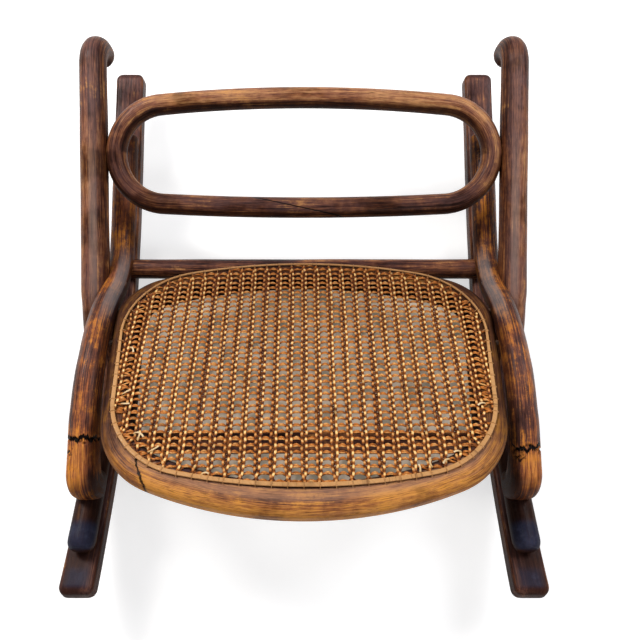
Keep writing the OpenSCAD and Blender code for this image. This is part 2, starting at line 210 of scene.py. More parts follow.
def walk(start: Sequence[float], slope: float, steps: Sequence[Step], spacing: float = 3.0) -> Line:
    """Follows a list of steps, as the CAD source does.

    Args:
        start: first point of the centre line.
        slope: the first direction's angle from +y towards +z, degrees.
        steps: the stretches in order.
        spacing: distance between stations.

    Returns:
        The stations, with smoothed diameters.
    """
    h = math.radians(slope)
    pos, side = Vector(start), Vector((1, 0, 0))
    ahead, up = Vector((0, math.cos(h), math.sin(h))), Vector((0, -math.sin(h), math.cos(h)))
    rows: list[tuple] = []
    done = 0.0
    for k, step in enumerate(steps):
        turn = math.radians(math.hypot(step.up, step.out))
        bend = (up * step.up + side * step.out).normalized() if turn else up
        axis = ahead.cross(bend)
        end_d = step.d0 if step.d1 is None else step.d1
        n = max(2, math.ceil(max(step.length / spacing, math.degrees(turn) / 4)))
        for i in range(0 if k == 0 else 1, n + 1):
            t = i / n
            rot = Matrix.Rotation(turn * t, 3, axis)
            here = pos + ahead * step.length * t
            if turn:
                r = step.length / turn
                here = pos + bend * r * (1 - math.cos(turn * t)) + ahead * r * math.sin(turn * t)
            rows.append((here, rot @ side, rot @ up, done + step.length * t, step.d0 + (end_d - step.d0) * t))
        pos, side, up = rows[-1][:3]
        ahead = up.cross(side)
        done += step.length
    place, sides, ups = (np.array([list(r[i]) for r in rows]) for i in range(3))
    return Line(place, sides, ups, np.array([r[3] for r in rows]), smoothed(np.array([r[4] for r in rows])))


@dataclass(frozen=True)
class Outline:
    """A flat outline, symmetric in x: the y of its front middle, and its right half's bends to the rear.

    A bend is a radius and degrees, or 0 and the length of a straight run.
    """

    front: float
    bends: tuple[tuple[float, float], ...]

    @property
    def half_length(self) -> float:
        """Length of the right half."""
        return sum(radius * math.radians(amount) if radius else amount for radius, amount in self.bends)

    def at(self, s: float) -> tuple[float, float, float]:
        """Place and heading (degrees) at a length from the front middle, round to the right.

        Args:
            s: length along the outline, mm.

        Returns:
            x, y and the heading.
        """
        s = s % (2 * self.half_length)
        if s > self.half_length:
            x, y, a = self.at(2 * self.half_length - s)
            return -x, y, -a
        x, y, a = 0.0, self.front, 0.0
        for radius, amount in self.bends:
            run = min(s, radius * math.radians(amount) if radius else amount)
            s -= run
            if radius:
                b = a + run / radius
                x, y, a = x + radius * (math.sin(b) - math.sin(a)), y + radius * (math.cos(a) - math.cos(b)), b
            else:
                x, y = x + run * math.cos(a), y + run * math.sin(a)
        return x, y, math.degrees(a)

    def points(self, n: int) -> Array:
        """The outline as n even points with headings."""
        return np.array([self.at(2 * self.half_length * i / n) for i in range(n)])

    def line(self, spacing: float, diameter: float, lift: float = 0.0, tilt: float = 0.0,
             origin: tuple[float, float] = (0.0, 0.0)) -> Line:
        """Stations of a closed rod that follows the outline.

        Args:
            spacing: distance between stations.
            diameter: the rod's thickness.
            lift: height above the outline's plane.
            tilt: slope of the outline's plane, degrees.
            origin: where the outline's middle lies, (y, z).

        Returns:
            The stations; side points out of the loop and up out of its plane.
        """
        n = 2 * round(self.half_length / spacing)
        p = self.points(n)
        c, s = math.cos(math.radians(tilt)), math.sin(math.radians(tilt))
        turn = np.array([[1, 0, 0], [0, c, -s], [0, s, c]])
        flat = np.column_stack([p[:, 0], p[:, 1], np.full(n, lift)])
        a = np.radians(p[:, 2] - 90)
        out = np.column_stack([np.cos(a), np.sin(a), np.zeros(n)])
        run = np.arange(n) * 2 * self.half_length / n
        up = np.tile(turn @ np.array([0, 0, 1.0]), (n, 1))
        return Line(flat @ turn.T + [0, *origin], out @ turn.T, up, run, np.full(n, diameter), True)


@dataclass(frozen=True)
class SeatOutline:
    """Front bow, front corner, side, rear corner and rear bow of the seat, as the CAD source has them."""

    front: float
    bow: float
    bow_turn: float
    corner: float
    corner_turn: float
    side: float
    rear: float
    rear_turn: float

    def inset(self, o: float) -> Outline:
        """The outline moved in by o.

        Args:
            o: distance, mm.

        Returns:
            The parallel outline, closed on the middle line.
        """
        bends = ((self.bow, self.bow_turn), (self.corner, self.corner_turn), (0.0, self.side),
                 (self.rear, self.rear_turn))
        last = 180 - self.bow_turn - self.corner_turn - self.rear_turn
        open_ = Outline(self.front, bends)
        close = open_.at(open_.half_length)[0] / math.sin(math.radians(last))
        moved = tuple((radius - o if radius else 0.0, amount) for radius, amount in (*bends, (close, last)))
        return Outline(self.front + o, moved)


RIM = SeatOutline(-134, 328, 21.94, 69.8, 62.8, 100.6, 55.9, 76.8)
CANE = SeatOutline(-113, 500, 11.37, 76.1, 74.06, 68.1, 72.3, 81.48)


# ---- skins


class Section:
    """A cross section that can be drawn in from its edge, to round or bevel an end."""

    def outline(self, d: float, inset: float) -> Array:
        """Points of the section as (side, up) offsets.

        Args:
            d: the rod's diameter here.
            inset: how far the edge is drawn in.

        Returns:
            An (n, 2) array, the same n at every station.
        """
        raise NotImplementedError


@dataclass(frozen=True)
class RoundSection(Section):
    """A circle."""

    sides: int

    def outline(self, d: float, inset: float) -> Array:
        """Points of the circle.

        Args:
            d: the rod's diameter here.
            inset: how far the edge is drawn in.

        Returns:
            The points, as Section.outline has them.
        """
        a = np.arange(self.sides) * 2 * math.pi / self.sides
        r = max(d / 2 - inset, 0.05)
        return np.column_stack([np.cos(a) * r, np.sin(a) * r])


@dataclass(frozen=True)
class BarSection(Section):
    """A rectangle with rounded edges, which can take its width from the line."""

    width: float
    height: float
    edge: float
    corner_steps: int = 6
    flat_steps: int = 5
    follow: bool = False

    def outline(self, d: float, inset: float) -> Array:
        """Points of the rectangle, corner by corner.

        Args:
            d: the rod's diameter here.
            inset: how far the edge is drawn in.

        Returns:
            The points, as Section.outline has them.
        """
        a, b = max((d if self.follow else self.width) / 2 - inset, 0.3), max(self.height / 2 - inset, 0.2)
        c = min(max(self.edge - inset * 0.3, 0.4), a * 0.9, b * 0.9)
        corners = np.array([(a - c, b - c), (c - a, b - c), (c - a, c - b), (a - c, c - b)])
        turn = np.radians(np.arange(0, 360, 90)[:, None] + np.linspace(0, 90, self.corner_steps + 1))
        arcs = corners[:, None] + c * np.stack([np.cos(turn), np.sin(turn)], -1)
        gaps = np.roll(arcs[:, :1], -1, 0) - arcs[:, -1:]
        flats = arcs[:, -1:] + gaps * np.arange(1, self.flat_steps)[:, None] / self.flat_steps
        return np.concatenate([arcs, flats], 1).reshape(-1, 2)


@dataclass(frozen=True)
class End:
    """How a rod ends: how far back the shaping starts and how deep it draws in."""

    reach: float
    depth: float
    rounded: bool = True
    steps: int = 7

    def stations(self) -> list[tuple[float, float]]:
        """Pairs of distance from the tip and inset, from the tip inwards.

        Returns:
            The pairs, mm.
        """
        t = np.linspace(0, 1, self.steps + 1)
        a = t * math.pi / 2
        near, deep = (1 - np.cos(a), 1 - np.sin(a)) if self.rounded else (t, 1 - t)
        return list(zip(self.reach * near, self.depth * deep))


SHARP = End(0.6, 0.6, steps=2)


def sample(line: Line, s: float) -> tuple[Array, Array, Array, float]:
    """The station at any length along an open line."""
    place, side, up = (np.array([np.interp(s, line.s, c) for c in a.T]) for a in (line.place, line.side, line.up))
    return place, side / np.linalg.norm(side), up / np.linalg.norm(up), float(np.interp(s, line.s, line.d))


@dataclass
class Skin:
    """A quad skin in the seat's frame, with each point's straightened wood coordinates."""

    rows: Array
    grain: Array
    marks: Array
    closed: bool
    length: float
    flipped: bool = False

    def mirrored(self) -> "Skin":
        """The same skin on the other side of the stool."""
        rows, grain = self.rows * [-1, 1, 1], self.grain + [MIRROR_SHIFT, 0, 0]
        return Skin(rows, grain, self.marks, self.closed, self.length, not self.flipped)


Relief = Callable[[Array], Array]
Marks = Callable[[Array, float], Array]


def plain(p: Array, total: float) -> Array:
    """No marks at all, whatever the rod's length."""
    return np.zeros((len(p), 3))


def sweep(line: Line, section: Section, first: End = SHARP, last: End = SHARP, shape: Relief | None = None,
          marks: Marks = plain, fine: Sequence[tuple[float, float]] = ()) -> Skin:
    """Carries a section along a line.

    Args:
        line: the stations.
        section: the cross section.
        first: shape of the first end, if open.
        last: shape of the last end, if open.
        shape: optional relief, from straightened points in mm to a push outwards in mm.
        marks: dark, bare and reflected amounts of the finish, that is grime and painted shade, bare wood and painted
            reflection, from straightened points and the length in mm.
        fine: lengths between which the stations stand closer.

    Returns:
        The skin.
    """
    stations = [(s, 0.0) for s in line.s]
    if not line.closed:
        total = line.s[-1]
        inner = [s for s in line.s if not any(a < s < b for a, b in fine)]
        inner += [s for a, b in fine for s in np.arange(a, b, FINE_STATION)]
        inner = sorted(s for s in inner if first.reach + 0.5 < s < total - last.reach - 0.5)
        stations = first.stations() + [(s, 0.0) for s in inner]
        stations += [(total - s, i) for s, i in reversed(last.stations())]
    rows, grain, painted = [], [], []
    for k, (s, inset) in enumerate(stations):
        if line.closed:
            place, side, up, d = line.place[k], line.side[k], line.up[k], line.d[k]
        else:
            place, side, up, d = sample(line, s)
        flat = section.outline(d, inset)
        straight = np.column_stack([np.full(len(flat), s), flat])
        if shape is not None:
            size = np.linalg.norm(flat, axis=1, keepdims=True)
            flat = flat * (1 + shape(straight)[:, None] / size)
        rows.append(place + flat[:, :1] * side + flat[:, 1:] * up)
        grain.append(straight)
        painted.append(marks(straight, line.length))
    return Skin(np.array(rows), np.array(grain), np.array(painted), line.closed, line.length)


def paint(mesh: bpy.types.Mesh, domain: str = "POINT", **values: Sequence) -> None:
    """Adds attributes: vectors where a value has columns, else numbers.

    Args:
        mesh: the mesh.
        domain: the attributes' domain.
        values: values by attribute name.
    """
    for name, value in values.items():
        value = np.asarray(value, dtype=np.float32)
        kind, key = ("FLOAT_VECTOR", "vector") if value.ndim == 2 else ("FLOAT", "value")
        mesh.attributes.new(name, kind, domain).data.foreach_set(key, value.ravel())


def skin_mesh(name: str, skin: Skin) -> bpy.types.Object:
    """Builds the closed mesh of a skin, with a fan of triangles on each open end.

    Args:
        name: the piece's name.
        skin: the swept skin.

    Returns:
        The object, in the row's frame, with "grain", "marks" and "top" attributes and a UV map.
    """
    k, n = skin.rows.shape[:2]
    i, j = (a.ravel() for a in np.meshgrid(np.arange(k if skin.closed else k - 1), np.arange(n), indexing="ij"))
    ri, rj = np.stack([i, i + 1, i + 1, i], 1), np.stack([j, j, j + 1, j + 1], 1)
    if skin.flipped:
        ri, rj = ri[:, ::-1], rj[:, ::-1]
    faces = ((ri % k) * n + rj % n).tolist()
    grain = skin.grain[ri % k, rj % n] + (ri == k)[..., None] * [skin.length, 0, 0]
    grains, verts, marks = [grain.reshape(-1, 3)], [skin.rows.reshape(-1, 3)], [skin.marks.reshape(-1, 3)]
    uvs = [np.stack([grain[..., 0] / 1000, rj / n], -1).reshape(-1, 2)]
    for end, row in enumerate(() if skin.closed else (0, k - 1)):
        around, hub, local = np.arange(n), k * n + end, skin.grain[row]
        verts.append(skin.rows[row].mean(0, keepdims=True))
        marks.append(skin.marks[row].mean(0, keepdims=True))
        fan = np.stack([row * n + around, row * n + (around + 1) % n, np.full(n, hub)], 1)
        fan_grain = np.stack([local, np.roll(local, -1, 0), np.tile(local.mean(0), (n, 1))], 1)
        if bool(end) != skin.flipped:
            fan, fan_grain = fan[:, ::-1], fan_grain[:, ::-1]
        faces += fan.tolist()
        grains.append(fan_grain.reshape(-1, 3))
        uvs.append(fan_grain[..., 1:].reshape(-1, 2) / 100)
    mesh = bpy.data.meshes.new(name)
    mesh.from_pydata(REST.stand(np.concatenate(verts)).tolist(), [], faces)
    paint(mesh, "CORNER", grain=np.concatenate(grains) / 1000)
    paint(mesh, marks=np.concatenate(marks))
    layer = mesh.uv_layers.new(name="UVMap")
    layer.data.foreach_set("uv", np.concatenate(uvs).astype(np.float32).ravel())
    return finish_mesh(name, mesh)


def finish_mesh(name: str, mesh: bpy.types.Mesh) -> bpy.types.Object:
    """Turns a mesh outwards, smooths it, notes how far it faces up and links it.

    Args:
        name: the object's name.
        mesh: a closed mesh in the row's frame.

    Returns:
        The linked object.
    """
    mesh.update()
    if sum(mesh.vertices[p.vertices[0]].co.dot(p.normal) * p.area for p in mesh.polygons) < 0:
        mesh.flip_normals()
    mesh.polygons.foreach_set("use_smooth", np.ones(len(mesh.polygons), dtype=bool))
    normals = np.empty(len(mesh.vertices) * 3, dtype=np.float32)
    mesh.vertices.foreach_get("normal", normals)
    paint(mesh, top=normals[2::3])
    obj = bpy.data.objects.new(name, mesh)
    bpy.context.scene.collection.objects.link(obj)
    return obj


# ---- node trees

Term = Union["Value", float, tuple]


def operator(operation: str, swapped: bool = False) -> Callable[["Value", Term], "Value"]:
    """An arithmetic method that adds a Math node, swapped for a reflected form.

    Args:
        operation: the Math node's operation.
        swapped: whether the other term comes first.

    Returns:
        The method.
    """

    def act(self: "Value", other: Term) -> "Value":
        """Adds the node."""
        return self.graph.maths(operation, *((other, self) if swapped else (self, other)))

    return act


class Value:
    """A shader socket with ordinary arithmetic."""

    __add__ = __radd__ = operator("ADD")
    __sub__, __rsub__ = operator("SUBTRACT"), operator("SUBTRACT", True)
    __mul__ = __rmul__ = operator("MULTIPLY")
    __truediv__, __rtruediv__ = operator("DIVIDE"), operator("DIVIDE", True)

    def __init__(self, graph: "Graph", socket: bpy.types.NodeSocket) -> None:
        """Wraps a socket of a graph."""
        self.graph, self.socket = graph, socket

    def __abs__(self) -> "Value":
        """The value without its sign."""
        return self.graph.maths("ABSOLUTE", self)

    def rise(self, low: float, high: float) -> "Value":
        """A smooth step from 0 at low to 1 at high."""
        inputs = {0: self, 1: low, 2: high, 3: 0.0, 4: 1.0}
        return self.graph.node("ShaderNodeMapRange", {"interpolation_type": "SMOOTHSTEP"}, inputs)


class NodeTree:
    """A node tree, and the one method that adds any node to it."""

    def __init__(self, tree: bpy.types.NodeTree) -> None:
        """Holds one of Blender's trees."""
        self.tree = tree

    def feed(self, socket: bpy.types.NodeSocket, term: object) -> None:
        """Links a value or socket to a socket, or sets it as a constant.

        Args:
            socket: the input.
            term: a value, a socket or a constant.
        """
        source = term.socket if isinstance(term, Value) else term
        if isinstance(source, bpy.types.NodeSocket):
            self.tree.links.new(source, socket)
        elif isinstance(term, tuple) and socket.type == "RGBA" and len(term) == 3:
            socket.default_value = (*term, 1.0)
        else:
            socket.default_value = term

    def grade(self, elements: bpy.types.ColorRampElements, stops: Sequence[tuple[float, Colour]]) -> None:
        """Sets a ramp's stops.

        Args:
            elements: the ramp's elements.
            stops: positions and colours in order.
        """
        while len(elements) < len(stops):
            elements.new(0.5)
        for element, (at, colour) in zip(elements, stops):
            element.position, element.color = at, (*colour, 1.0)

    def add(self, kind: str, settings: dict | None = None, inputs: dict | None = None,
            out: Union[str, int] = 0) -> bpy.types.NodeSocket:
        """Adds any node.

        Args:
            kind: the node's type name.
            settings: attributes to set on it first; "stops" holds a ramp's positions and colours.
            inputs: socket name or index to a value, a socket or a constant.
            out: which output to return.

        Returns:
            The chosen output.
        """
        made = self.tree.nodes.new(kind)
        for key, value in (settings or {}).items():
            if key == "stops":
                self.grade(made.color_ramp.elements, value)
            else:
                setattr(made, key, value)
        for key, term in (inputs or {}).items():
            self.feed(made.inputs[key], term)
        return made.outputs[out]


class Graph(NodeTree):
    """A material's node tree and the few node patterns that the finishes use."""

    def __init__(self, name: str) -> None:
        """Makes a material.

        Args:
            name: its name.
        """
        self.material = bpy.data.materials.new(name)
        self.material.use_nodes = True
        super().__init__(self.material.node_tree)
        self.shader = next(n for n in self.tree.nodes if n.type == "BSDF_PRINCIPLED")

    def node(self, kind: str, settings: dict | None = None, inputs: dict | None = None,
             out: Union[str, int] = 0) -> Value:
        """Adds any node, as add() does, and wraps its output."""
        return Value(self, self.add(kind, settings, inputs, out))

    def maths(self, operation: str, *terms: Term) -> Value:
        """A Math node."""
        return self.node("ShaderNodeMath", {"operation": operation}, dict(enumerate(terms)))

    def attribute(self, name: str, vector: bool = False) -> Value:
        """A mesh attribute."""
        return self.node("ShaderNodeAttribute", {"attribute_name": name}, out="Vector" if vector else "Fac")

    def place(self) -> Value:
        """Object coordinates, metres."""
        return self.node("ShaderNodeTexCoord", out="Object")

    def scaled(self, vector: Value, by: tuple, shift: tuple = (0.0, 0.0, 0.0)) -> Value:
        """A vector times a vector, plus a shift."""
        return self.node("ShaderNodeVectorMath", {"operation": "MULTIPLY_ADD"}, {0: vector, 1: by, 2: shift})

    def joined(self, x: Term, y: Term, z: Term) -> Value:
        """A vector of three numbers."""
        return self.node("ShaderNodeCombineXYZ", None, {0: x, 1: y, 2: z})

    def split(self, vector: Value) -> tuple[Value, Value, Value]:
        """The three parts of a vector."""
        parts = self.node("ShaderNodeSeparateXYZ", None, {0: vector}).socket.node
        return tuple(Value(self, parts.outputs[i]) for i in range(3))

    def noise(self, vector: Value, scale: float = 1.0, detail: float = 3.0, rough: float = 0.55,
              distortion: float = 0.0) -> Value:
        """A noise texture's factor."""
        inputs = {"Vector": vector, "Scale": scale, "Detail": detail, "Roughness": rough, "Distortion": distortion}
        return self.node("ShaderNodeTexNoise", None, inputs, "Fac")

    def mix(self, factor: Term, a: Term, b: Term) -> Value:
        """Two colours mixed."""
        return self.node("ShaderNodeMix", {"data_type": "RGBA", "clamp_factor": True}, {0: factor, 6: a, 7: b}, 2)

    def ramp(self, factor: Value, stops: Sequence[tuple[float, Colour]]) -> Value:
        """A colour ramp."""
        return self.node("ShaderNodeValToRGB", {"stops": stops}, {0: factor})

    def bump(self, height: Value, distance: float, strength: float = 1.0) -> None:
        """Feeds the shader's normal from a height in 0..1."""
        inputs = {"Strength": strength, "Distance": distance, "Height": height}
        self.feed(self.shader.inputs["Normal"], self.node("ShaderNodeBump", None, inputs, "Normal"))

    def finish(self, **sockets: Term) -> bpy.types.Material:
        """Sets the shader's sockets, written with underscores for spaces.

        Args:
            sockets: terms by socket name.

        Returns:
            The material.
        """
        for key, term in sockets.items():
            self.feed(self.shader.inputs[key.replace("_", " ")], term)
        return self.material


# ---- finishes


def tint(colour: Colour, red: float, green: float, blue: float) -> Colour:
    """A colour times three factors."""
    return colour[0] * red, colour[1] * green, colour[2] * blue


@dataclass(frozen=True)
class Scarf:
    """The long glue line where a closed rod's ends meet, in straightened millimetres."""

    s: float
    slope: float
    reach: float
    loop: float
    width: float = 0.75
    jag: float = 0.0
    low: float = -4.0

    def across(self, g: "Graph", s: Value, x: Value, z: Value) -> tuple[Value, Value]:
        """Length from the joint's middle, and distance from its line.

        Args:
            g: the material's graph.
            s: straightened length, metres.
            x: distance to the side, metres.
            z: distance upwards, metres.

        Returns:
            Both lengths, metres.
        """
        along = s - g.maths("GREATER_THAN", s, self.loop / 2000) * (self.loop / 1000) - self.s / 1000
        off = x - along * self.slope
        if self.jag:
            spot = g.joined(s * 130.0, x * 130.0, z * 130.0)
            off = off + (g.noise(spot, 1.0, 4.0, 0.65) - 0.5) * (self.jag / 1000)
        return along, off

    def mask(self, g: "Graph", s: Value, x: Value, z: Value) -> Value:
        """Where the line lies, 0 to 1.

        Args:
            g: the material's graph.
            s: straightened length, metres.
            x: distance to the side, metres.
            z: distance upwards, metres.

        Returns:
            The mask.
        """
        along, off = self.across(g, s, x, z)
        ends = 1.0 - abs(along).rise(self.reach / 1000 - 0.004, self.reach / 1000)
        thin = 1.0 - abs(off).rise(self.width * 0.0004, self.width * 0.001)
        return thin * ends * z.rise(self.low / 1000, self.low / 1000 + 0.004)

    def grain(self, g: "Graph", s: Value, x: Value, z: Value) -> Value:
        """Wood coordinates that change from one end of the rod to the other at the joint.

        Args:
            g: the material's graph.
            s: straightened length, metres.
            x: distance to the side, metres.
            z: distance upwards, metres.

        Returns:
            The coordinates as a vector.
        """
        along, off = self.across(g, s, x, z)
        other = g.maths("GREATER_THAN", off, 0.0) * (self.loop / 1000)
        return g.joined(along + other, x, z)


@dataclass(frozen=True)
class Fracture:
    """A jagged break round a rod, in straightened millimetres, about one direction of its section."""

    s: float
    toward: float
    spread: float
    seed: float
    width: float = 1.3
    jag: float = 9.0
    radius: float = 13.3

    def mask(self, g: "Graph", s: Value, x: Value, z: Value) -> Value:
        """Where the break gapes, 0 to 1.

        Args:
            g: the material's graph.
            s: straightened length, metres.
            x: distance to the side, metres.
            z: distance upwards, metres.

        Returns:
            The mask.
        """
        way = x * (math.cos(self.toward) * 1000) + z * (math.sin(self.toward) * 1000)
        spot = g.joined(x * 190.0, z * 190.0, self.seed)
        wobble = (g.noise(spot, 1.0, 4.0, 0.65) - 0.5) * (self.jag * 0.002)
        off = abs(s - self.s / 1000 - wobble)
        low = self.radius * math.cos(self.spread)
        thin = way.rise(low, self.radius) * (self.width * 0.0006) + self.width * 0.0004
        return (1.0 - (off / thin).rise(0.6, 1.1)) * way.rise(low - 1.0, low + 1.0)


@dataclass(frozen=True)
class WoodFinish:
    """Old stained and varnished bentwood, worn through to bare wood in places.

    The mesh's marks darken it with grime and painted shade, bare it, or lay a painted reflection on its
    varnish: a pale one where the wood is light, and a bluish one where it is dark. Tops take a painted sheen.
    """

    name: str
    deep: Colour = (0.012, 0.0023, 0.0011)
    body: Colour = (0.088, 0.0255, 0.0115)
    warm: Colour = (0.275, 0.094, 0.028)
    bare: Colour = (0.62, 0.30, 0.105)
    # painted sheen: the pale mauve that upward faces take in place of the sky's reflection in the varnish
    sheen_colour: Colour = (0.185, 0.105, 0.105)
    # painted reflections: a bluish one on dark wood, and next a pale one on light wood
    film: Colour = (0.017, 0.022, 0.048)
    pale_reflection: Colour = (0.27, 0.195, 0.165)
    # the colour of the dark mark: grime, cracks and dark ends in places, painted shade on undersides, flanks and
    # recesses
    grime_and_shade: Colour = (0.005, 0.0016, 0.0011)
    wear: float = 0.35
    tone: float = 0.0
    # how strongly the tops take the painted sheen
    bloom: float = 0.5
    gloss: float = 0.25
    figure: float = 1.35
    close: float = 1.0
    lines: tuple[Union[Scarf, Fracture], ...] = ()

    def build(self) -> bpy.types.Material:
        """Makes the material.

        Returns:
            The material.
        """
        g = Graph(self.name)
        grain = g.attribute("grain", True)
        s, x, z = g.split(grain)
        for line in self.lines:
            if isinstance(line, Scarf):
                grain = line.grain(g, s, x, z)
        dark, bare, reflected = g.split(g.attribute("marks", True))
        top = g.attribute("top")
        place = g.place()

        def fibres(along: float, across: float, *form: float, shift: float = 0.0) -> Value:
            """Noise drawn out along the wood."""
            return g.noise(g.scaled(grain, (along, across, across), (shift, 0.0, 0.0)), 1.0, *form)

        broad = fibres(9.0, 80.0, 2.0)
        streak = fibres(17.0, 480.0 * self.close, 4.0, 0.66, 0.4)
        blot = fibres(28.0, 60.0, 3.0, 0.6, shift=3.1)
        fine = fibres(60.0, 1500.0, 2.0, 0.7)
        pores = fibres(120.0, 2600.0, 1.0).rise(0.58, 0.68)
        patch = g.noise(place, 19.0, 4.0, 0.6)
        rub = g.noise(place, 90.0, 5.0, 0.7)
        tone = (broad - 0.5) * 0.6 + (streak - 0.5) * self.figure + (fine - 0.5) * 0.9 + (blot - 0.5) * 0.6
        tone = tone + (rub - 0.5) * 0.5 + 0.44 + self.tone + bare * 0.34
        colour = g.ramp(tone, [(0.18, self.deep), (0.44, self.body), (0.68, self.warm), (0.98, self.bare)])
        # painted sheen: upward faces, in patches, mix towards a pale mauve that stands for the sky's reflection
        sheen_patches = (patch * 0.7 + streak * 0.5 + top * 0.22).rise(0.60, 0.86)
        sheen_tint = g.mix(fine, self.sheen_colour, tint(self.sheen_colour, 1.6, 1.6, 1.6))
        colour = g.mix(sheen_patches * top.rise(0.4, 0.97) * self.bloom, colour, sheen_tint)
        worn = (patch * 0.4 + rub * 0.5 + streak * 0.5).rise(0.86 - self.wear * 0.3, 0.98 - self.wear * 0.3)
        colour = g.mix(worn * 0.8, colour, g.ramp(streak, [(0.3, self.warm), (0.62, self.bare)]))
        # random blotches and pores, then the dark mark: grime in places, painted shade on undersides, flanks and
        # recesses
        for amount, shade in (((1.0 - patch).rise(0.52, 0.66) * 0.5, self.deep), (pores * 0.6, self.deep),
                              (dark, self.grime_and_shade)):
            colour = g.mix(amount, colour, shade)
        # painted reflections: where the third mark lies, a bluish reflection on dark wood and a pale one on light wood
        film = g.mix(rub.rise(0.45, 0.7), self.film, tint(self.film, 2.1, 1.9, 1.6))
        reflection_tint = g.mix(dark.rise(0.3, 0.6), self.pale_reflection, film)
        colour = g.mix(reflected * (fine * 0.7 + rub * 0.7 + 0.3), colour, reflection_tint)
        gap: Term = 0.0
        for line in self.lines:
            gap = g.maths("MAXIMUM", line.mask(g, s, x, z), gap)
            colour = g.mix(gap * 0.95, colour, (0.003, 0.0012, 0.001))
        relief = streak * 0.5 + fine * 0.2 - pores * 0.25 + rub * 0.4 - worn * 0.3
        g.bump(relief - gap * 1.5 if self.lines else relief, 0.0008, 0.6)
        rough = self.gloss + fine * 0.14 + worn * 0.2 + rub * 0.12 + dark * 0.25
        return g.finish(Base_Color=colour, Roughness=rough, Coat_Weight=0.015, Coat_Roughness=0.15, IOR=1.5,
                        Specular_IOR_Level=0.085)


@dataclass(frozen=True)
class CaneFinish:
    """Split cane: shiny golden tan, with painted light where a strand rides high, painted shade where it dives under,
    and grime in the weave.
    """

    name: str
    pale: Colour = (1.0, 0.66, 0.26)
    body: Colour = (0.52, 0.165, 0.028)
    brown: Colour = (0.050, 0.009, 0.0025)
    gloss: float = 0.36

    def build(self) -> bpy.types.Material:
        """Makes the material.

        Returns:
            The material.
        """
        g = Graph(self.name)
        tone, run, lift = g.attribute("tone"), g.attribute("run"), g.attribute("lift")
        place = g.place()
        x, y, _ = g.split(place)
        fibre = g.noise(g.joined(run * 14.0, tone * 37.0, (x + y) * 900.0), 1.0, 3.0, 0.6)
        node = g.noise(g.joined(run * 55.0, tone * 91.0, 0.0), 1.0, 1.0)
        grime_and_shade = g.noise(place, 38.0, 4.0, 0.6)
        # painted light and shade: the lift makes a strand pale where it rides high and brown where it dives
        light = lift * 0.80 + tone * 0.16 + fibre * 0.40 - 0.10
        colour = g.ramp(light, [(0.14, self.brown), (0.52, self.body), (0.95, self.pale)])
        colour = g.mix(node.rise(0.62, 0.72) * 0.5, colour, self.brown)
        # darker in random patches and towards the rear
        rear = y.rise(-0.06, 0.02) * 0.34
        colour = g.mix(g.maths("MAXIMUM", grime_and_shade.rise(0.52, 0.75) * 0.5, rear), colour, self.brown)
        g.bump(fibre * 0.7 + grime_and_shade * 0.3, 0.00015, 0.5)
        return g.finish(Base_Color=colour, Roughness=self.gloss + fibre * 0.2, Coat_Weight=0.03,
                        Specular_IOR_Level=0.12)


@dataclass(frozen=True)
class SteelFinish:
    """Dull old screw heads, gone brown."""

    name: str

    def build(self) -> bpy.types.Material:
        """Makes the material.

        Returns:
            The material.
        """
        g = Graph(self.name)
        rust = g.noise(g.place(), 420.0, 4.0, 0.65)
        colour = g.ramp(rust, [(0.35, (0.055, 0.046, 0.042)), (0.6, (0.14, 0.075, 0.045))])
        g.bump(rust, 0.0003, 0.6)
        return g.finish(Base_Color=colour, Roughness=0.42 + rust * 0.3, Metallic=0.8 - rust.rise(0.4, 0.7) * 0.6)


# ---- geometry-node trees


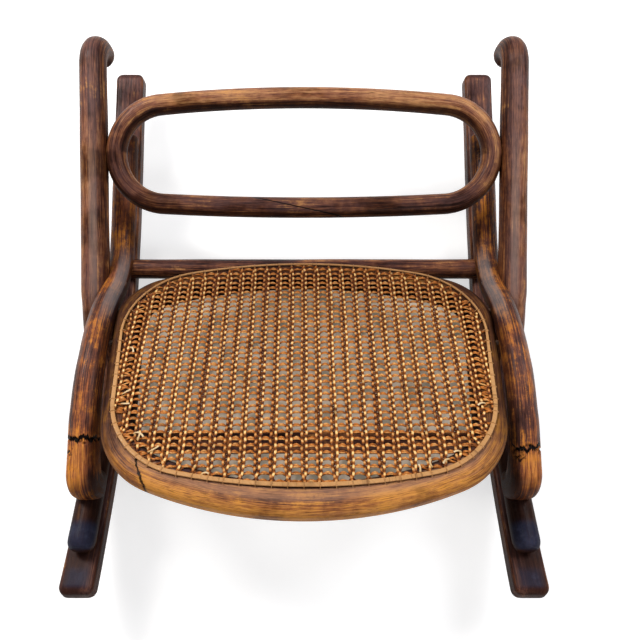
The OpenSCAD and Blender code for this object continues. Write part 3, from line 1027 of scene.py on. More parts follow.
class GeoTree(NodeTree):
    """A geometry-nodes group with a finish and sizes (mm), applied once and turned into a plain mesh."""

    def __init__(self, name: str, finish: bpy.types.Material, **sizes: float) -> None:
        """Makes the group and its inputs.

        Args:
            name: the group's name.
            finish: the material that it sets.
            sizes: lengths in mm by input name.
        """
        super().__init__(bpy.data.node_groups.new(name, "GeometryNodeTree"))
        face = self.tree.interface
        for way in ("INPUT", "OUTPUT"):
            face.new_socket("Geometry", in_out=way, socket_type="NodeSocketGeometry")
        inputs = [("Finish", "Material", finish)] + [(key, "Float", size / 1000) for key, size in sizes.items()]
        self.values = {}
        for key, kind, value in inputs:
            self.values[face.new_socket(key, in_out="INPUT", socket_type="NodeSocket" + kind).identifier] = value
        self.entry = self.tree.nodes.new("NodeGroupInput")
        self.exit = self.tree.nodes.new("NodeGroupOutput")

    def arg(self, name: str) -> bpy.types.NodeSocket:
        """One of the group's own inputs."""
        return self.entry.outputs[name]

    def tube(self, curve: bpy.types.NodeSocket, width: object, thick: object) -> bpy.types.NodeSocket:
        """A six-sided oval strand along a curve; width and thick are the section's x and y.

        Args:
            curve: the strand's curve.
            width: the section's x.
            thick: the section's y.

        Returns:
            The tube's mesh.
        """
        ring = self.add("GeometryNodeCurvePrimitiveCircle", {"mode": "RADIUS"}, {"Resolution": 6, "Radius": 0.5})
        size = self.add("ShaderNodeCombineXYZ", None, {0: width, 1: thick, 2: 1.0})
        flat = self.add("GeometryNodeTransform", None, {"Geometry": ring, "Scale": size})
        return self.add("GeometryNodeCurveToMesh", None, {"Curve": curve, "Profile Curve": flat, "Fill Caps": True})

    def apply(self, name: str, source: bpy.types.Mesh, geometry: bpy.types.NodeSocket) -> bpy.types.Mesh:
        """Ends the tree, evaluates it on a mesh and returns the plain result.

        Args:
            name: name of the new mesh.
            source: the mesh that the tree starts from.
            geometry: the last socket before instances are realised and the material set.

        Returns:
            A mesh with no modifier.
        """
        real = self.add("GeometryNodeRealizeInstances", None, {0: geometry})
        done = self.add("GeometryNodeSetMaterial", None, {"Geometry": real, "Material": self.arg("Finish")})
        self.tree.links.new(done, self.exit.inputs[0])
        holder = bpy.data.objects.new(name + "_source", source)
        bpy.context.scene.collection.objects.link(holder)
        modifier = holder.modifiers.new("form", "NODES")
        modifier.node_group = self.tree
        for key, value in self.values.items():
            modifier[key] = value
        depsgraph = bpy.context.evaluated_depsgraph_get()
        mesh = bpy.data.meshes.new_from_object(holder.evaluated_get(depsgraph), depsgraph=depsgraph)
        mesh.name = name
        bpy.data.objects.remove(holder)
        return mesh


# ---- woodwork


def add_piece(obj: bpy.types.Object, material: bpy.types.Material, slot: str, *nodes: str) -> None:
    """Gives a piece its finish, carries it on the frame in place of its nodes, and reports it.

    Args:
        obj: the piece.
        material: its finish.
        slot: its slot.
        nodes: what it replaces, if anything.
    """
    obj.data.materials.clear()
    obj.data.materials.append(material)
    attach(obj, "root")
    if nodes:
        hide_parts(*nodes)
    obj.data.calc_loop_triangles()
    log.info("%s: %d triangles, slot %s", obj.name, len(obj.data.loop_triangles), slot)


def add_wood(where: str, kind: str, node: str, skin: Skin, material: bpy.types.Material) -> None:
    """Adds a wooden piece in place of a node, both named after where they are."""
    add_piece(skin_mesh(f"{where}_{kind}_wood", skin), material, f"{kind}_wood", f"{where}_{node}")


def soft(x: Array, low: float, high: float) -> Array:
    """A smooth step of an array from 0 at low to 1 at high."""
    t = np.clip((x - low) / (high - low), 0, 1)
    return t * t * (3 - 2 * t)


def within(x: Array, a: float, b: float, c: float, d: float) -> Array:
    """A smooth plateau: up from a to b, down from c to d."""
    return soft(x, a, b) * (1 - soft(x, c, d))


def toward(angle: Array, way: float, low: float, high: float) -> Array:
    """A smooth band round a rod, centred on one direction, by the cosine of the angle off it."""
    return soft(np.cos(angle - way), low, high)


def marked(dark: Array, bare: Array, reflected: Array, most: float = 0.95) -> Array:
    """The three marks of a finish: dark for grime and painted shade, held under its most, bare wood, and painted
    reflection.
    """
    return np.stack([np.clip(dark, 0, most), np.clip(bare, 0, 1), reflected], 1)


def wander(a: Array, seed: float) -> Array:
    """A jagged wave of an angle, about -1 to 1."""
    return (np.sin(3 * a + seed) + 0.6 * np.sin(7 * a + 2.3 * seed) + 0.5 * np.sin(17 * a + 4.1 * seed)
            + 0.4 * np.sin(41 * a + 1.7 * seed)) / 1.7


@dataclass(frozen=True)
class Crack:
    """A transverse break in a rod: where it runs, how wide and how deep it is, and the angles it spans."""

    s: float
    middle: float
    spread: float
    seed: float
    width: float = 1.1
    depth: float = 1.8
    jag: float = 3.2

    def amount(self, p: Array) -> Array:
        """How open the crack is at straightened points.

        Args:
            p: straightened points, mm.

        Returns:
            0 to 1 for each point.
        """
        a = np.arctan2(p[:, 2], p[:, 1])
        off = np.angle(np.exp(1j * (a - self.middle)))
        here = self.s + self.jag * wander(a, self.seed) + 2.0 * np.abs(off)
        line = 1 - soft(np.abs(p[:, 0] - here), self.width * 0.4, self.width * 1.3)
        return line * (1 - soft(np.abs(off), self.spread * 0.75, self.spread))


DOWN = -math.pi / 2  # the way that a rail's visible top faces, as the rail is walked from the rear


def ripple(seed: float, amount: float) -> Callable[[Array], Array]:
    """A gentle unevenness along and round a rod, as an outward push in mm.

    Args:
        seed: picks the pattern.
        amount: its height, mm.

    Returns:
        The relief.
    """

    def push(p: Array) -> Array:
        """Pushes points outwards.

        Args:
            p: straightened points, mm.

        Returns:
            The push, mm.
        """
        s, a = p[:, 0], np.arctan2(p[:, 2], p[:, 1])
        slow = np.sin(s * 0.047 + seed) + 0.6 * np.sin(s * 0.091 + 2 * seed + a)
        flutes = np.sin(a * 7 + 3 * seed + 0.8 * np.sin(s * 0.02)) + 0.7 * np.sin(a * 11 + s * 0.013 + seed)
        return amount * (0.6 * slow + 0.35 * flutes)

    return push


@dataclass
class Rockers:
    """The two curved runners."""

    x: float = 188.1
    width: float = 29.0
    thick: float = RUNNER
    edge: float = 4.0

    def line(self) -> Line:
        """The right rocker's centre line.

        Returns:
            The stations.
        """
        r = REST.curve_r - self.thick / 2
        steps = [Step(REST.toe_flat), Step(r * math.radians(REST.curve_turn), REST.curve_turn), Step(REST.heel_flat)]
        return walk((self.x, REST.toe[0], REST.toe[1] + self.thick / 2), 0, steps)

    def marks(self, p: Array, total: float) -> Array:
        """Dark toes, from dark varnish and painted shade under the rails, with a painted reflection on the tip, dark
        heels, painted shade on the flanks, and worn edges.

        Args:
            p: straightened points, mm.
            total: the rod's length, mm.

        Returns:
            Dark (grime and painted shade), bare and painted reflection amounts for each point.
        """
        s, x, z = p.T
        # dark toe: dark varnish and painted shade under the rails' tips
        toe = 1 - soft(s, 70, 190)
        edge = soft(np.abs(x), self.width / 2 - 4.5, self.width / 2 - 1.5) * soft(z, 4, 8)
        # painted reflection: a bluish patch on top of the toe
        patch = within(s, 3, 7, 15, 24) * (1 - soft(np.abs(x), 8, 12)) * soft(z, 5, 8)
        bevel = soft(s, total - 9, total - 4)
        # painted shade on the underside and lower flanks
        flank = 1 - soft(z, -8, 5)
        inner = soft(-x, 1, 9)
        dark = 0.86 * toe * (1 - 0.6 * edge) * (1 - 0.4 * inner) + 0.55 * bevel + 0.45 * flank * (1 - 0.5 * inner)
        return marked(dark, 0.4 * edge * (1 - toe), 0.6 * patch, 0.92)

    def build(self, finish: WoodFinish) -> None:
        """Makes both rockers.

        Args:
            finish: the finish that it gets.
        """
        material = finish.build()
        skin = sweep(self.line(), BarSection(self.width, self.thick, self.edge),
                     End(7.0, 5.5), End(9.0, 8.0), ripple(1.3, 0.16), self.marks)
        for side in Side:
            add_wood(side.word, "rocker", "rocker", side.half(skin), material)


@dataclass
class SideRails:
    """The rails: up over the back, through the dip, round the seat and down to a worn tip.

    A bend is written as its degrees and radius, the bow as three arcs' length, whole turn and the runs between.
    """

    x: float = 185.3
    d: float = 23.6
    front_d: float = 26.6
    lap: float = 108.0
    seat: float = 1.1
    back: float = 64.7
    dip: tuple[float, float] = (54.4, 80.0)
    level: tuple[float, float] = (19.4, 120.0)
    bow: tuple[float, float, float] = (36.8, 43.3, 8.0)
    tip: tuple[float, float] = (72.0, 15.0)
    heel: float = 3.0
    broken: tuple[float, float] = (322.0, 362.0)
    left: tuple[Crack, ...] = (Crack(334, DOWN - 0.2, 1.9, 0.7), Crack(345, DOWN + 0.9, 0.5, 2.9, 0.8, 1.2, 5.0))
    right: tuple[Crack, ...] = (Crack(341, DOWN + 0.3, 1.5, 3.9), Crack(349, DOWN - 0.6, 0.4, 5.2, 0.7, 1.0, 4.0))
    # painted light: the left rail's tone a little lighter and the right's darker, as light falls from the left
    side_light: tuple[float, float] = (0.03, -0.04)

    def line(self) -> Line:
        """The right rail's centre line.

        Returns:
            The stations.
        """
        a = math.radians(REST.curve_turn)
        back, high = self.back / math.cos(a), RUNNER + self.d / 2 - self.seat
        y = REST.heel[0] - back * math.cos(a) - high * math.sin(a)
        z = REST.heel[1] - back * math.sin(a) + high * math.cos(a)
        (dip, dip_r), (level, level_r), (tip, tip_r) = self.dip, self.level, self.tip
        arc, turn, run = self.bow
        grow = (self.front_d - self.d) / 3
        steps = [Step(self.heel, d0=self.d), Step(self.lap, d0=self.d),
                 Step(math.radians(dip) * dip_r, -dip, d0=self.d),
                 Step(math.radians(level) * level_r, level, d0=self.d)]
        for d in (self.d, self.d + grow, self.d + grow * 2):
            steps += [Step(arc, turn / 3, d0=d), Step(run, d0=d, d1=d + grow)]
        steps.append(Step(math.radians(tip) * tip_r, tip, d0=self.front_d))
        return walk((self.x, y, z), 180 + REST.curve_turn, steps, STATION)

    def marks(self, p: Array, total: float, cracks: Sequence[Crack]) -> Array:
        """Gold before the tip with pale lips at the break, painted reflections and highlights on the bends, painted
        shade on the laps and flanks, and a dark tip.

        Args:
            p: straightened points, mm.
            total: the rod's length, mm.
            cracks: this side's breaks.

        Returns:
            Dark (grime and painted shade), bare and painted reflection amounts for each point.
        """
        s, x, z = p.T
        a = np.arctan2(z, x)
        first = min(c.s for c in cracks)
        open_ = np.max([c.amount(p) for c in cracks], axis=0)
        up = soft(-z, -2, 8)
        gold = within(s, first + 1, first + 8, total - 28, total - 20) * up
        lips = within(s, first - 6, first, first, first + 5) * up
        # painted reflection: a pale one on the bow's top
        pale_reflection = within(s, 250, 300, first - 8, first) * up * toward(a * 2, -0.7, -0.4, 0.8)
        # painted highlight: a light band and a thin glint on the rear bend
        band = toward(a, -2.2, 0.78, 0.94) * within(s, 115, 150, 205, 245)
        glint = toward(a, -0.75, 0.92, 0.99) * within(s, 185, 225, 250, 300)
        bend = within(s, 120, 160, 220, 260) * (1 - band)
        ragged = soft(s + 5 * wander(a, 2.0), total - 33, total - 26) * (0.6 + 0.4 * soft(z, -9, -2))
        # painted shade under the lap, where it lies on the rocker
        lap = 1 - soft(s, 20, 150)
        dark = np.maximum(0.5 * open_, 0.75 * ragged + 0.25 * lap * soft(z, 0, 8))
        # painted shade on the underside and the inner flank
        flank = np.maximum(soft(z, -1, 8), 0.9 * soft(-x, 3, 11))
        return marked(dark + 0.7 * flank * (1 - band) + 0.3 * bend, 0.95 * gold * (1 - flank) + 0.7 * lips,
                      0.16 * pale_reflection + 0.72 * band + 0.35 * glint)

    def relief(self, p: Array, cracks: Sequence[Crack], sway: Relief) -> Array:
        """The rod's unevenness, the corners of its whittled tip past the last break, and its cracks.

        Args:
            p: straightened points, mm.
            cracks: this side's breaks.
            sway: the rod's own unevenness.

        Returns:
            The push outwards, mm.
        """
        a = np.arctan2(p[:, 2], p[:, 1])
        corner = (np.abs(np.cos(a)) ** 3 + np.abs(np.sin(a)) ** 3) ** (-1 / 3) - 1
        squared = self.front_d / 2 * corner * soft(p[:, 0], 330, 365)
        return sway(p) + squared - np.max([c.depth * c.amount(p) for c in cracks], axis=0)

    def build(self, finish: WoodFinish) -> None:
        """Makes both rails.

        Args:
            finish: the finish that it gets.
        """
        line = walk_on(self.line(), self.front_d / 2)
        for side, cracks, shade in zip(Side, (self.left, self.right), self.side_light):
            relief = partial(self.relief, cracks=cracks, sway=ripple(0.4 + side.value, 0.2))
            skin = sweep(line, RoundSection(64), End(3, 2.2, False, 4), End(5.5, 4.5), relief,
                         partial(self.marks, cracks=cracks), [self.broken])
            shift = MIRROR_SHIFT if side is Side.LEFT else 0.0
            lines = tuple(Fracture(c.s + shift, c.middle, c.spread, c.seed, c.width + 0.9) for c in cracks)
            stain = replace(finish, name=f"{side.word}_{finish.name}", lines=lines, tone=finish.tone + shade)
            add_wood(side.word, "rail", "side_rail", side.half(skin), stain.build())


def walk_on(line: Line, extra: float) -> Line:
    """Adds a short straight stretch to a line's end, for a domed tip.

    Args:
        line: an open line.
        extra: length of the stretch, mm.

    Returns:
        The longer line.
    """
    ahead = np.cross(line.up[-1], line.side[-1])
    steps = [extra * (i + 1) / 4 for i in range(4)]
    place = np.vstack([line.place] + [line.place[-1] + ahead * t for t in steps])
    side, up = (np.vstack([a, np.tile(a[-1], (4, 1))]) for a in (line.side, line.up))
    return Line(place, side, up, np.concatenate([line.s, line.s[-1] + steps]),
                np.concatenate([line.d, np.full(4, line.d[-1])]))


@dataclass
class BackPosts:
    """The posts: a foot along the rocker, a sweep out and back, a straight run and a scroll.

    A sweep is its length and its turns up and outwards; the rod swells after each.
    """

    x: float = 186.7
    y: float = -127.0
    d: float = 23.0
    post_d: float = 27.0
    top_d: float = 26.0
    heel: float = 2.0
    foot: float = 115.0
    outward: tuple[float, float, float] = (56.0, 8.0, 16.242)
    inward: tuple[float, float, float] = (56.0, 19.346, -15.066)
    swell: float = 6.0
    straighten: tuple[float, float] = (40.0, 2.001)
    upright: float = 182.8
    scroll_r: float = 21.0
    scroll_turn: float = 105.0
    scroll_roll: float = 2.5

    def line(self) -> Line:
        """The right post's centre line.

        Returns:
            The stations.
        """
        r = REST.curve_r - RUNNER - self.d / 2 - 0.1
        slope = math.degrees(math.asin((self.y - REST.centre[0]) / r))
        z = REST.centre[1] - r * math.cos(math.radians(slope))
        mid = (self.d + self.post_d) / 2
        turn, roll = self.scroll_turn, math.radians(self.scroll_roll)
        steps = [Step(self.heel, d0=self.d), Step(self.foot, math.degrees(self.foot / r), d0=self.d),
                 Step(*self.outward, self.d), Step(self.swell, d0=self.d, d1=mid),
                 Step(*self.inward, mid), Step(self.swell, d0=mid, d1=self.post_d),
                 Step(*self.straighten, d0=self.post_d), Step(self.upright, d0=self.post_d, d1=self.top_d),
                 Step(math.radians(turn) * self.scroll_r, -turn * math.cos(roll), -turn * math.sin(roll),
                      self.top_d)]
        a = math.radians(slope)
        start = (self.x, self.y - self.heel * math.cos(a), z - self.heel * math.sin(a))
        return walk(start, slope, steps, STATION)

    def marks(self, p: Array, total: float) -> Array:
        """A dark foot, from dark varnish and painted shade, with a painted reflection on its tip, a painted highlight
        band with a golden edge on the upright, painted shade underneath and on the inner side, and a dark scroll.

        Args:
            p: straightened points, mm.
            total: the rod's length, mm.

        Returns:
            Dark (grime and painted shade), bare and painted reflection amounts for each point.
        """
        s, x, z = p.T
        a = np.arctan2(z, x)
        # dark foot: dark varnish and painted shade under the rails
        foot = 1 - soft(s, 90, 190)
        # painted reflection: a bluish patch on top of the foot's tip
        tip = (1 - soft(s, 17, 24)) * soft(z, -2, 5)
        # painted highlight: a light band along the upright
        lit = toward(a, 1.65, 0.93, 0.995) * soft(s, 200, 260) * (1 - 0.75 * soft(s, 320, 420))
        edge = toward(a, 0.75, 0.5, 0.95) * within(s, 200, 260, 380, 450)
        scroll = soft(s, total - 62, total - 30)
        # painted shade underneath and on the inner side
        dark = 0.78 * foot + 0.35 * scroll + 0.35 * soft(-z, 0, 9) + 0.35 * soft(-x, 2, 9) * (1 - scroll)
        return marked(dark * (1 - lit), 0.2 * lit + 0.35 * edge, 0.80 * tip + 0.5 * lit * (1 - scroll), 0.92)

    def build(self, finish: WoodFinish) -> None:
        """Makes both posts.

        Args:
            finish: the finish that it gets.
        """
        material = finish.build()
        tip = self.top_d / 2
        skin = sweep(walk_on(self.line(), tip), RoundSection(44), End(9, 4.5), End(tip, tip * 0.97),
                     ripple(2.1, 0.2), self.marks)
        for side in Side:
            add_wood(side.word, "post", "back_post", side.half(skin), material)


@dataclass
class BackRing:
    """The long oval bent from one rod that closes the back."""

    d: float = 20.0
    half: float = 192.4
    end_r: float = 48.0
    top_r: float = 1450.0
    low_r: float = 2600.0
    y: float = 199.7
    z: float = 76.0
    slope: float = 42.3

    def outline(self) -> Outline:
        """The ring's centre line in its own plane.

        Returns:
            The outline, from the middle of its low side.
        """
        mid = self.half - self.d / 2
        a = math.asin((mid - self.end_r) / (self.low_r - self.end_r))
        b = math.asin((mid - self.end_r) / (self.top_r - self.end_r))
        rise = (self.low_r * (1 - math.cos(a)) + self.end_r * (math.cos(a) + math.cos(b))
                + self.top_r * (1 - math.cos(b)))
        deg_a, deg_b = math.degrees(a), math.degrees(b)
        return Outline(-rise / 2, ((self.low_r, deg_a), (self.end_r, 180 - deg_a - deg_b), (self.top_r, deg_b)))

    def marks(self, p: Array, total: float) -> Array:
        """Painted shade where the ring faces the seat and below, and on the lower rail, with a painted highlight on the
        upper crown.

        Args:
            p: straightened points, mm.
            total: the rod's length, mm.

        Returns:
            Dark (painted shade), bare (a painted highlight) and reflection (none) amounts for each point.
        """
        s, x, z = p.T
        s = (s + total / 2) % total - total / 2
        front = np.where(np.abs(s) < total / 4, x, -x)
        # painted shade on the faces turned to the seat and downwards, and on the lower rail; painted highlight on the
        # upper crown
        shade = np.maximum(soft(front, 3.5, 7.5), soft(-z, 2, 7))
        upper = soft(np.abs(s), total / 4 - 30, total / 4 + 60)
        crown = soft(z, -1, 7) * (1 - shade)
        return marked(0.70 * shade + 0.30 * (1 - upper) * (1 - shade), 0.75 * crown * upper, 0 * s)

    def build(self, finish: WoodFinish) -> None:
        """Makes the ring.

        Args:
            finish: the finish that it gets.
        """
        line = self.outline().line(STATION, self.d, 0.0, self.slope, (self.y, self.z))
        skin = sweep(line, RoundSection(36), marks=self.marks)
        finish = replace(finish, lines=(Scarf(s=-7, slope=0.21, reach=46, loop=line.length, jag=0.6),))
        add_wood("back", "ring", "ring", skin, finish.build())


@dataclass
class SeatRing:
    """The bent rim that carries the cane."""

    width: float = 27.5
    height: float = 17.5
    edge: float = 7.0

    def marks(self, p: Array, total: float) -> Array:
        """Golden at the front with a painted sheen on its top, darker round the sides and rear, with painted shade
        along the inner edge and underneath.

        Args:
            p: straightened points, mm.
            total: the rod's length, mm.

        Returns:
            Dark (painted shade and the darker sides and rear), bare and painted reflection amounts for each point.
        """
        s, x, z = p.T
        front = np.abs((s / total + 0.5) % 1 - 0.5)
        near = 1 - soft(front, 0.12, 0.21)
        side = soft(x, 4, 11) * soft(z, -9, -2)
        # painted shade along the inner edge, under the cane, and underneath
        inner = 1 - soft(x, -9, -3)
        away = (1 - near) * (0.60 + 0.2 * soft(x, 5, 12)) + 0.1 * soft(front, 0.22, 0.32)
        dark = 0.75 * inner + 0.5 * (1 - soft(z, -8, -4)) + away
        # painted sheen on the front's top
        pale_reflection = near * (1 - soft(x, 1, 6)) * soft(z, 3, 8)
        return marked(dark, near * (0.25 + 0.5 * side), 0.4 * pale_reflection)

    def build(self, finish: WoodFinish) -> None:
        """Makes the rim.

        Args:
            finish: the finish that it gets.
        """
        line = RIM.inset(self.width / 2).line(STATION, 0.0, -self.height / 2)
        skin = sweep(line, BarSection(self.width, self.height, self.edge, 9), marks=self.marks)
        crack = Scarf(s=-134, slope=0.85, reach=19, loop=line.length, width=1.5, jag=9.0, low=-9.0)
        finish = replace(finish, lines=(crack,))
        add_wood("seat", "rim", "ring", skin, finish.build())


@dataclass
class Stretchers:
    """The two cross rods under the seat."""

    d: float = 20.0
    rear: tuple[float, float, float] = (136.2, -20.2, 182.0)
    front: tuple[float, float, float] = (-35.0, -72.4, 176.0)
    stations: int = 140

    def build(self, finish: WoodFinish) -> None:
        """Makes both stretchers.

        Args:
            finish: the finish that it gets.
        """
        material = finish.build()
        for word, (y, z, reach) in (("rear", self.rear), ("front", self.front)):
            n = self.stations
            place = np.column_stack([np.linspace(-reach, reach, n), np.full(n, y), np.full(n, z)])
            line = Line(place, np.tile([0, 1.0, 0], (n, 1)), np.tile([0, 0, 1.0], (n, 1)),
                        place[:, 0] + reach, np.full(n, self.d))
            skin = sweep(line, RoundSection(36), shape=ripple(3.3, 0.18))
            skin.flipped = True
            add_wood(word, "stretcher", "stretcher", skin, material)


# ---- the cane


def inside(points: Array, fence: Array) -> Array:
    """Which points lie inside a closed outline.

    Args:
        points: places, x and y.
        fence: the outline's corners.

    Returns:
        A truth value for each place.
    """
    x, y = points[:, 0], points[:, 1]
    odd = np.zeros(len(points), dtype=bool)
    for (ax, ay), (bx, by) in zip(fence, np.roll(fence, -1, 0)):
        crosses = (ay > y) != (by > y)
        with np.errstate(divide="ignore", invalid="ignore"):
            odd ^= crosses & (x < (bx - ax) * (y - ay) / (by - ay) + ax)
    return odd


@dataclass
class Weave:
    """The caned panel: pairs of uprights, and rows of one straight and two stepping strands."""

    column: float = 12.0
    row: float = 6.0
    pair: float = 1.85
    level: float = 1.0
    flare: float = 13.0
    dive: float = 5.0
    inset: float = 2.3
    span: tuple[float, float] = (165.0, 125.0)
    widths: tuple[float, float, float, float] = (2.0, 1.5, 1.8, 1.8)
    thick: tuple[float, float, float, float] = (0.9, 0.8, 0.8, 0.8)
    fray: tuple[float, float] = (1.5, 0.6)
    seed: int = 7

    def cut(self, path: Array, fence: Array, holes: Array) -> Array | None:
        """Keeps a strand's part inside the holes and leads its ends into the nearest ones.

        Args:
            path: a strand's places and lift.
            fence: the line of holes.
            holes: the holes.

        Returns:
            The trimmed strand, or None where too little of it is inside.
        """
        keep = np.nonzero(inside(path[:, :2], fence))[0]
        if len(keep) < 6:
            return None
        path = path[keep[0]:keep[-1] + 1].copy()
        run = np.concatenate([[0], np.cumsum(np.linalg.norm(np.diff(path[:, :2], axis=0), axis=1))])
        for end, away in ((0, run), (-1, run[-1] - run)):
            hole = holes[np.argmin(np.linalg.norm(holes - path[end, :2], axis=1))]
            path[:, :2] += (1 - soft(away, 0, self.flare))[:, None] * (hole - path[end, :2])
            dip = np.clip(1 - away / self.dive, 0, 1)
            path[:, 2] -= dip * dip * 0.5
            # painted shade where a strand dives into its hole
            path[:, 3] *= 1 - 0.7 * dip
        return path

    def paths(self) -> dict[str, list[Array]]:
        """Every strand by family, its points with their lift, the painted light that they take: bright where they ride
        over, painted shade where they dive.

        Returns:
            Lists of strands by family.
        """
        rng = random.Random(self.seed)
        found: dict[str, list[Array]] = {"columns": [], "rows": [], "risers": [], "fallers": []}

        def waver(t: Array, *waves: tuple[float, float]) -> Array:
            """Sines of given height and pace, each with a random start."""
            return sum(height * np.sin(t * pace + rng.uniform(0, 6)) for height, pace in waves)

        wide, long = self.span
        across, along = math.ceil(wide / self.column), math.floor(long / self.row)
        for i in range(-across, across + 1):
            for s in (-1, 1):
                y = np.arange(-long, long, 1.0)
                x = self.column * i + self.pair * s + 0.3 * np.sin(y * 0.045 + i * 1.7 + s) + rng.uniform(-0.25, 0.25)
                x += waver(y, (0.24, 0.61), (0.16, 1.37))
                wave = np.cos(2 * math.pi / self.row * y + (0.5 if s > 0 else 2.6) + waver(y, (0.5, 0.13)))
                # painted light: bright knots where a column rides over the rows, brighter on one strand of each pair
                knot = (0.5 + 0.5 * wave) ** 1.6
                lift = 0.02 + 1.15 * knot if s > 0 else 0.72 * knot
                found["columns"].append(np.column_stack([x, y, self.level + 0.3 + 0.35 * wave, lift]))
        for j in range(-along, along + 1):
            x = np.arange(-wide, wide, 2.0)
            y = self.row * j + 0.3 * np.sin(x * 0.033 + j * 2.1) + rng.uniform(-0.2, 0.2)
            y += waver(x, (0.22, 0.47), (0.15, 1.1))
            wave = np.cos(x * 2 * math.pi / self.column + math.pi)
            found["rows"].append(np.column_stack([x, y, self.level - 0.25 + 0.25 * wave, 0.3 + 0.3 * wave]))
        half = self.column / 2
        # painted light on the arches of the stepping strands, stronger on the risers
        for key, way, push, rise, light in (("risers", 1, 1.1, 0.85, 0.50), ("fallers", -1, 0.5, 0.5, 0.32)):
            for j in range(-across - along, across + along + 1):
                x = np.arange(-wide, wide, 1.5)
                k = np.floor((x + 3) / self.column)
                into = x + 3 - self.column * k
                arch = np.sin(math.pi * np.clip(into / half - 1, 0, 1))
                y = self.row * (j + 0.5 + way * (k + soft(into, 0, half) - 0.5)) + arch * push
                y += 0.2 * np.sin(x * 0.05 + j) + waver(x, (0.26, 0.83))
                found[key].append(np.column_stack([x, y, self.level - 0.45 + arch * rise, 0.06 + arch * light]))
        line = CANE.inset(self.inset)
        fence, holes = line.points(400)[:, :2], line.points(HOLES)[:, :2]
        trimmed = {key: [self.cut(path, fence, holes) for path in family] for key, family in found.items()}
        return {key: [path for path in family if path is not None] for key, family in trimmed.items()}

    def frays(self) -> list[Array]:
        """Loose pale ends that stand out of the weave near the rim: place, direction in degrees, reach.

        Returns:
            The loose ends, as strands.
        """
        spots = ((-151, -31, 15, 8), (-150, -40, -30, 7), (-135, -68, 25, 9), (-131, -74, 60, 7),
                 (-121, -84, 5, 9), (-78, -104, 60, 6), (122, -84, 165, 6), (112, -90, 190, 7),
                 (98, -97, 140, 8), (88, -101, 75, 6), (149, -40, 170, 7), (-153, 18, -10, 7))
        found = []
        for i, (x, y, way, reach) in enumerate(spots):
            t = np.linspace(0, 1, 12)
            a = math.radians(way) + 0.8 * math.sin(2.1 * i + 0.4) * t
            z = self.level + 0.9 + 1.5 * np.sin(math.pi * 0.85 * t)
            # painted light: each loose end lighter towards its tip
            found.append(np.column_stack([x + reach * t * np.cos(a), y + reach * t * np.sin(a), z, 0.45 + 0.4 * t]))
        return found

    def strand_mesh(self, name: str, paths: Sequence[Array]) -> bpy.types.Mesh:
        """Edge chains with the strand's tone and running length on each point.

        Args:
            name: the mesh's name, which also seeds the tones.
            paths: the strands.

        Returns:
            A mesh of edges, in seat-frame metres.
        """
        rng = random.Random(name)
        verts, edges, tone, run, lift = [], [], [], [], []
        for path in paths:
            base = len(verts)
            verts += (path[:, :3] / 1000).tolist()
            lift += path[:, 3].tolist()
            edges += [(base + i, base + i + 1) for i in range(len(path) - 1)]
            tone += [rng.random()] * len(path)
            steps = np.linalg.norm(np.diff(path[:, :3], axis=0), axis=1)
            run += (np.concatenate([[0], np.cumsum(steps)]) / 1000 + rng.random()).tolist()
        mesh = bpy.data.meshes.new(name)
        mesh.from_pydata(verts, edges, [])
        paint(mesh, tone=tone, run=run, lift=lift)
        return mesh

    def ribbon(self, name: str, paths: Sequence[Array], width: float, thick: float,
               material: bpy.types.Material) -> bpy.types.Object:
        """Runs a flat cane section along edge chains.

        Args:
            name: the piece's name.
            paths: centre lines in the seat's frame.
            width: width of the strand.
            thick: its thickness.
            material: the finish.

        Returns:
            The finished mesh object in the row's frame.
        """
        tree = GeoTree(name + "_form", material, Width=width, Thickness=thick)
        curve = tree.add("GeometryNodeMeshToCurve", None, {"Mesh": tree.arg("Geometry")})
        upright = tree.add("GeometryNodeSetCurveNormal", {"mode": "Z_UP"}, {"Curve": curve})
        tube = tree.tube(upright, tree.arg("Width"), tree.arg("Thickness"))
        return place_cane(name, tree.apply(name, self.strand_mesh(name + "_lines", paths), tube))

    def build(self, finish: CaneFinish) -> None:
        """Makes the four families of strands and the loose ends.

        Args:
            finish: the finish that it gets.
        """
        material = finish.build()
        for (key, paths), width, thick in zip(self.paths().items(), self.widths, self.thick):
            nodes = ("cane_panel",) if key == "columns" else ()
            add_piece(self.ribbon(f"cane_{key}", paths, width, thick, material), material, "woven_cane", *nodes)
        pale = replace(finish, name=finish.name + "_ends", pale=(0.90, 0.74, 0.47), body=(0.62, 0.36, 0.13)).build()
        add_piece(self.ribbon("cane_frays", self.frays(), *self.fray, pale), pale, "woven_cane")


def place_cane(name: str, mesh: bpy.types.Mesh) -> bpy.types.Object:
    """Moves a mesh made in seat-frame metres to the row's frame and finishes it."""
    mesh.transform(REST.matrix() @ Matrix.Scale(1000, 4))
    return finish_mesh(name, mesh)


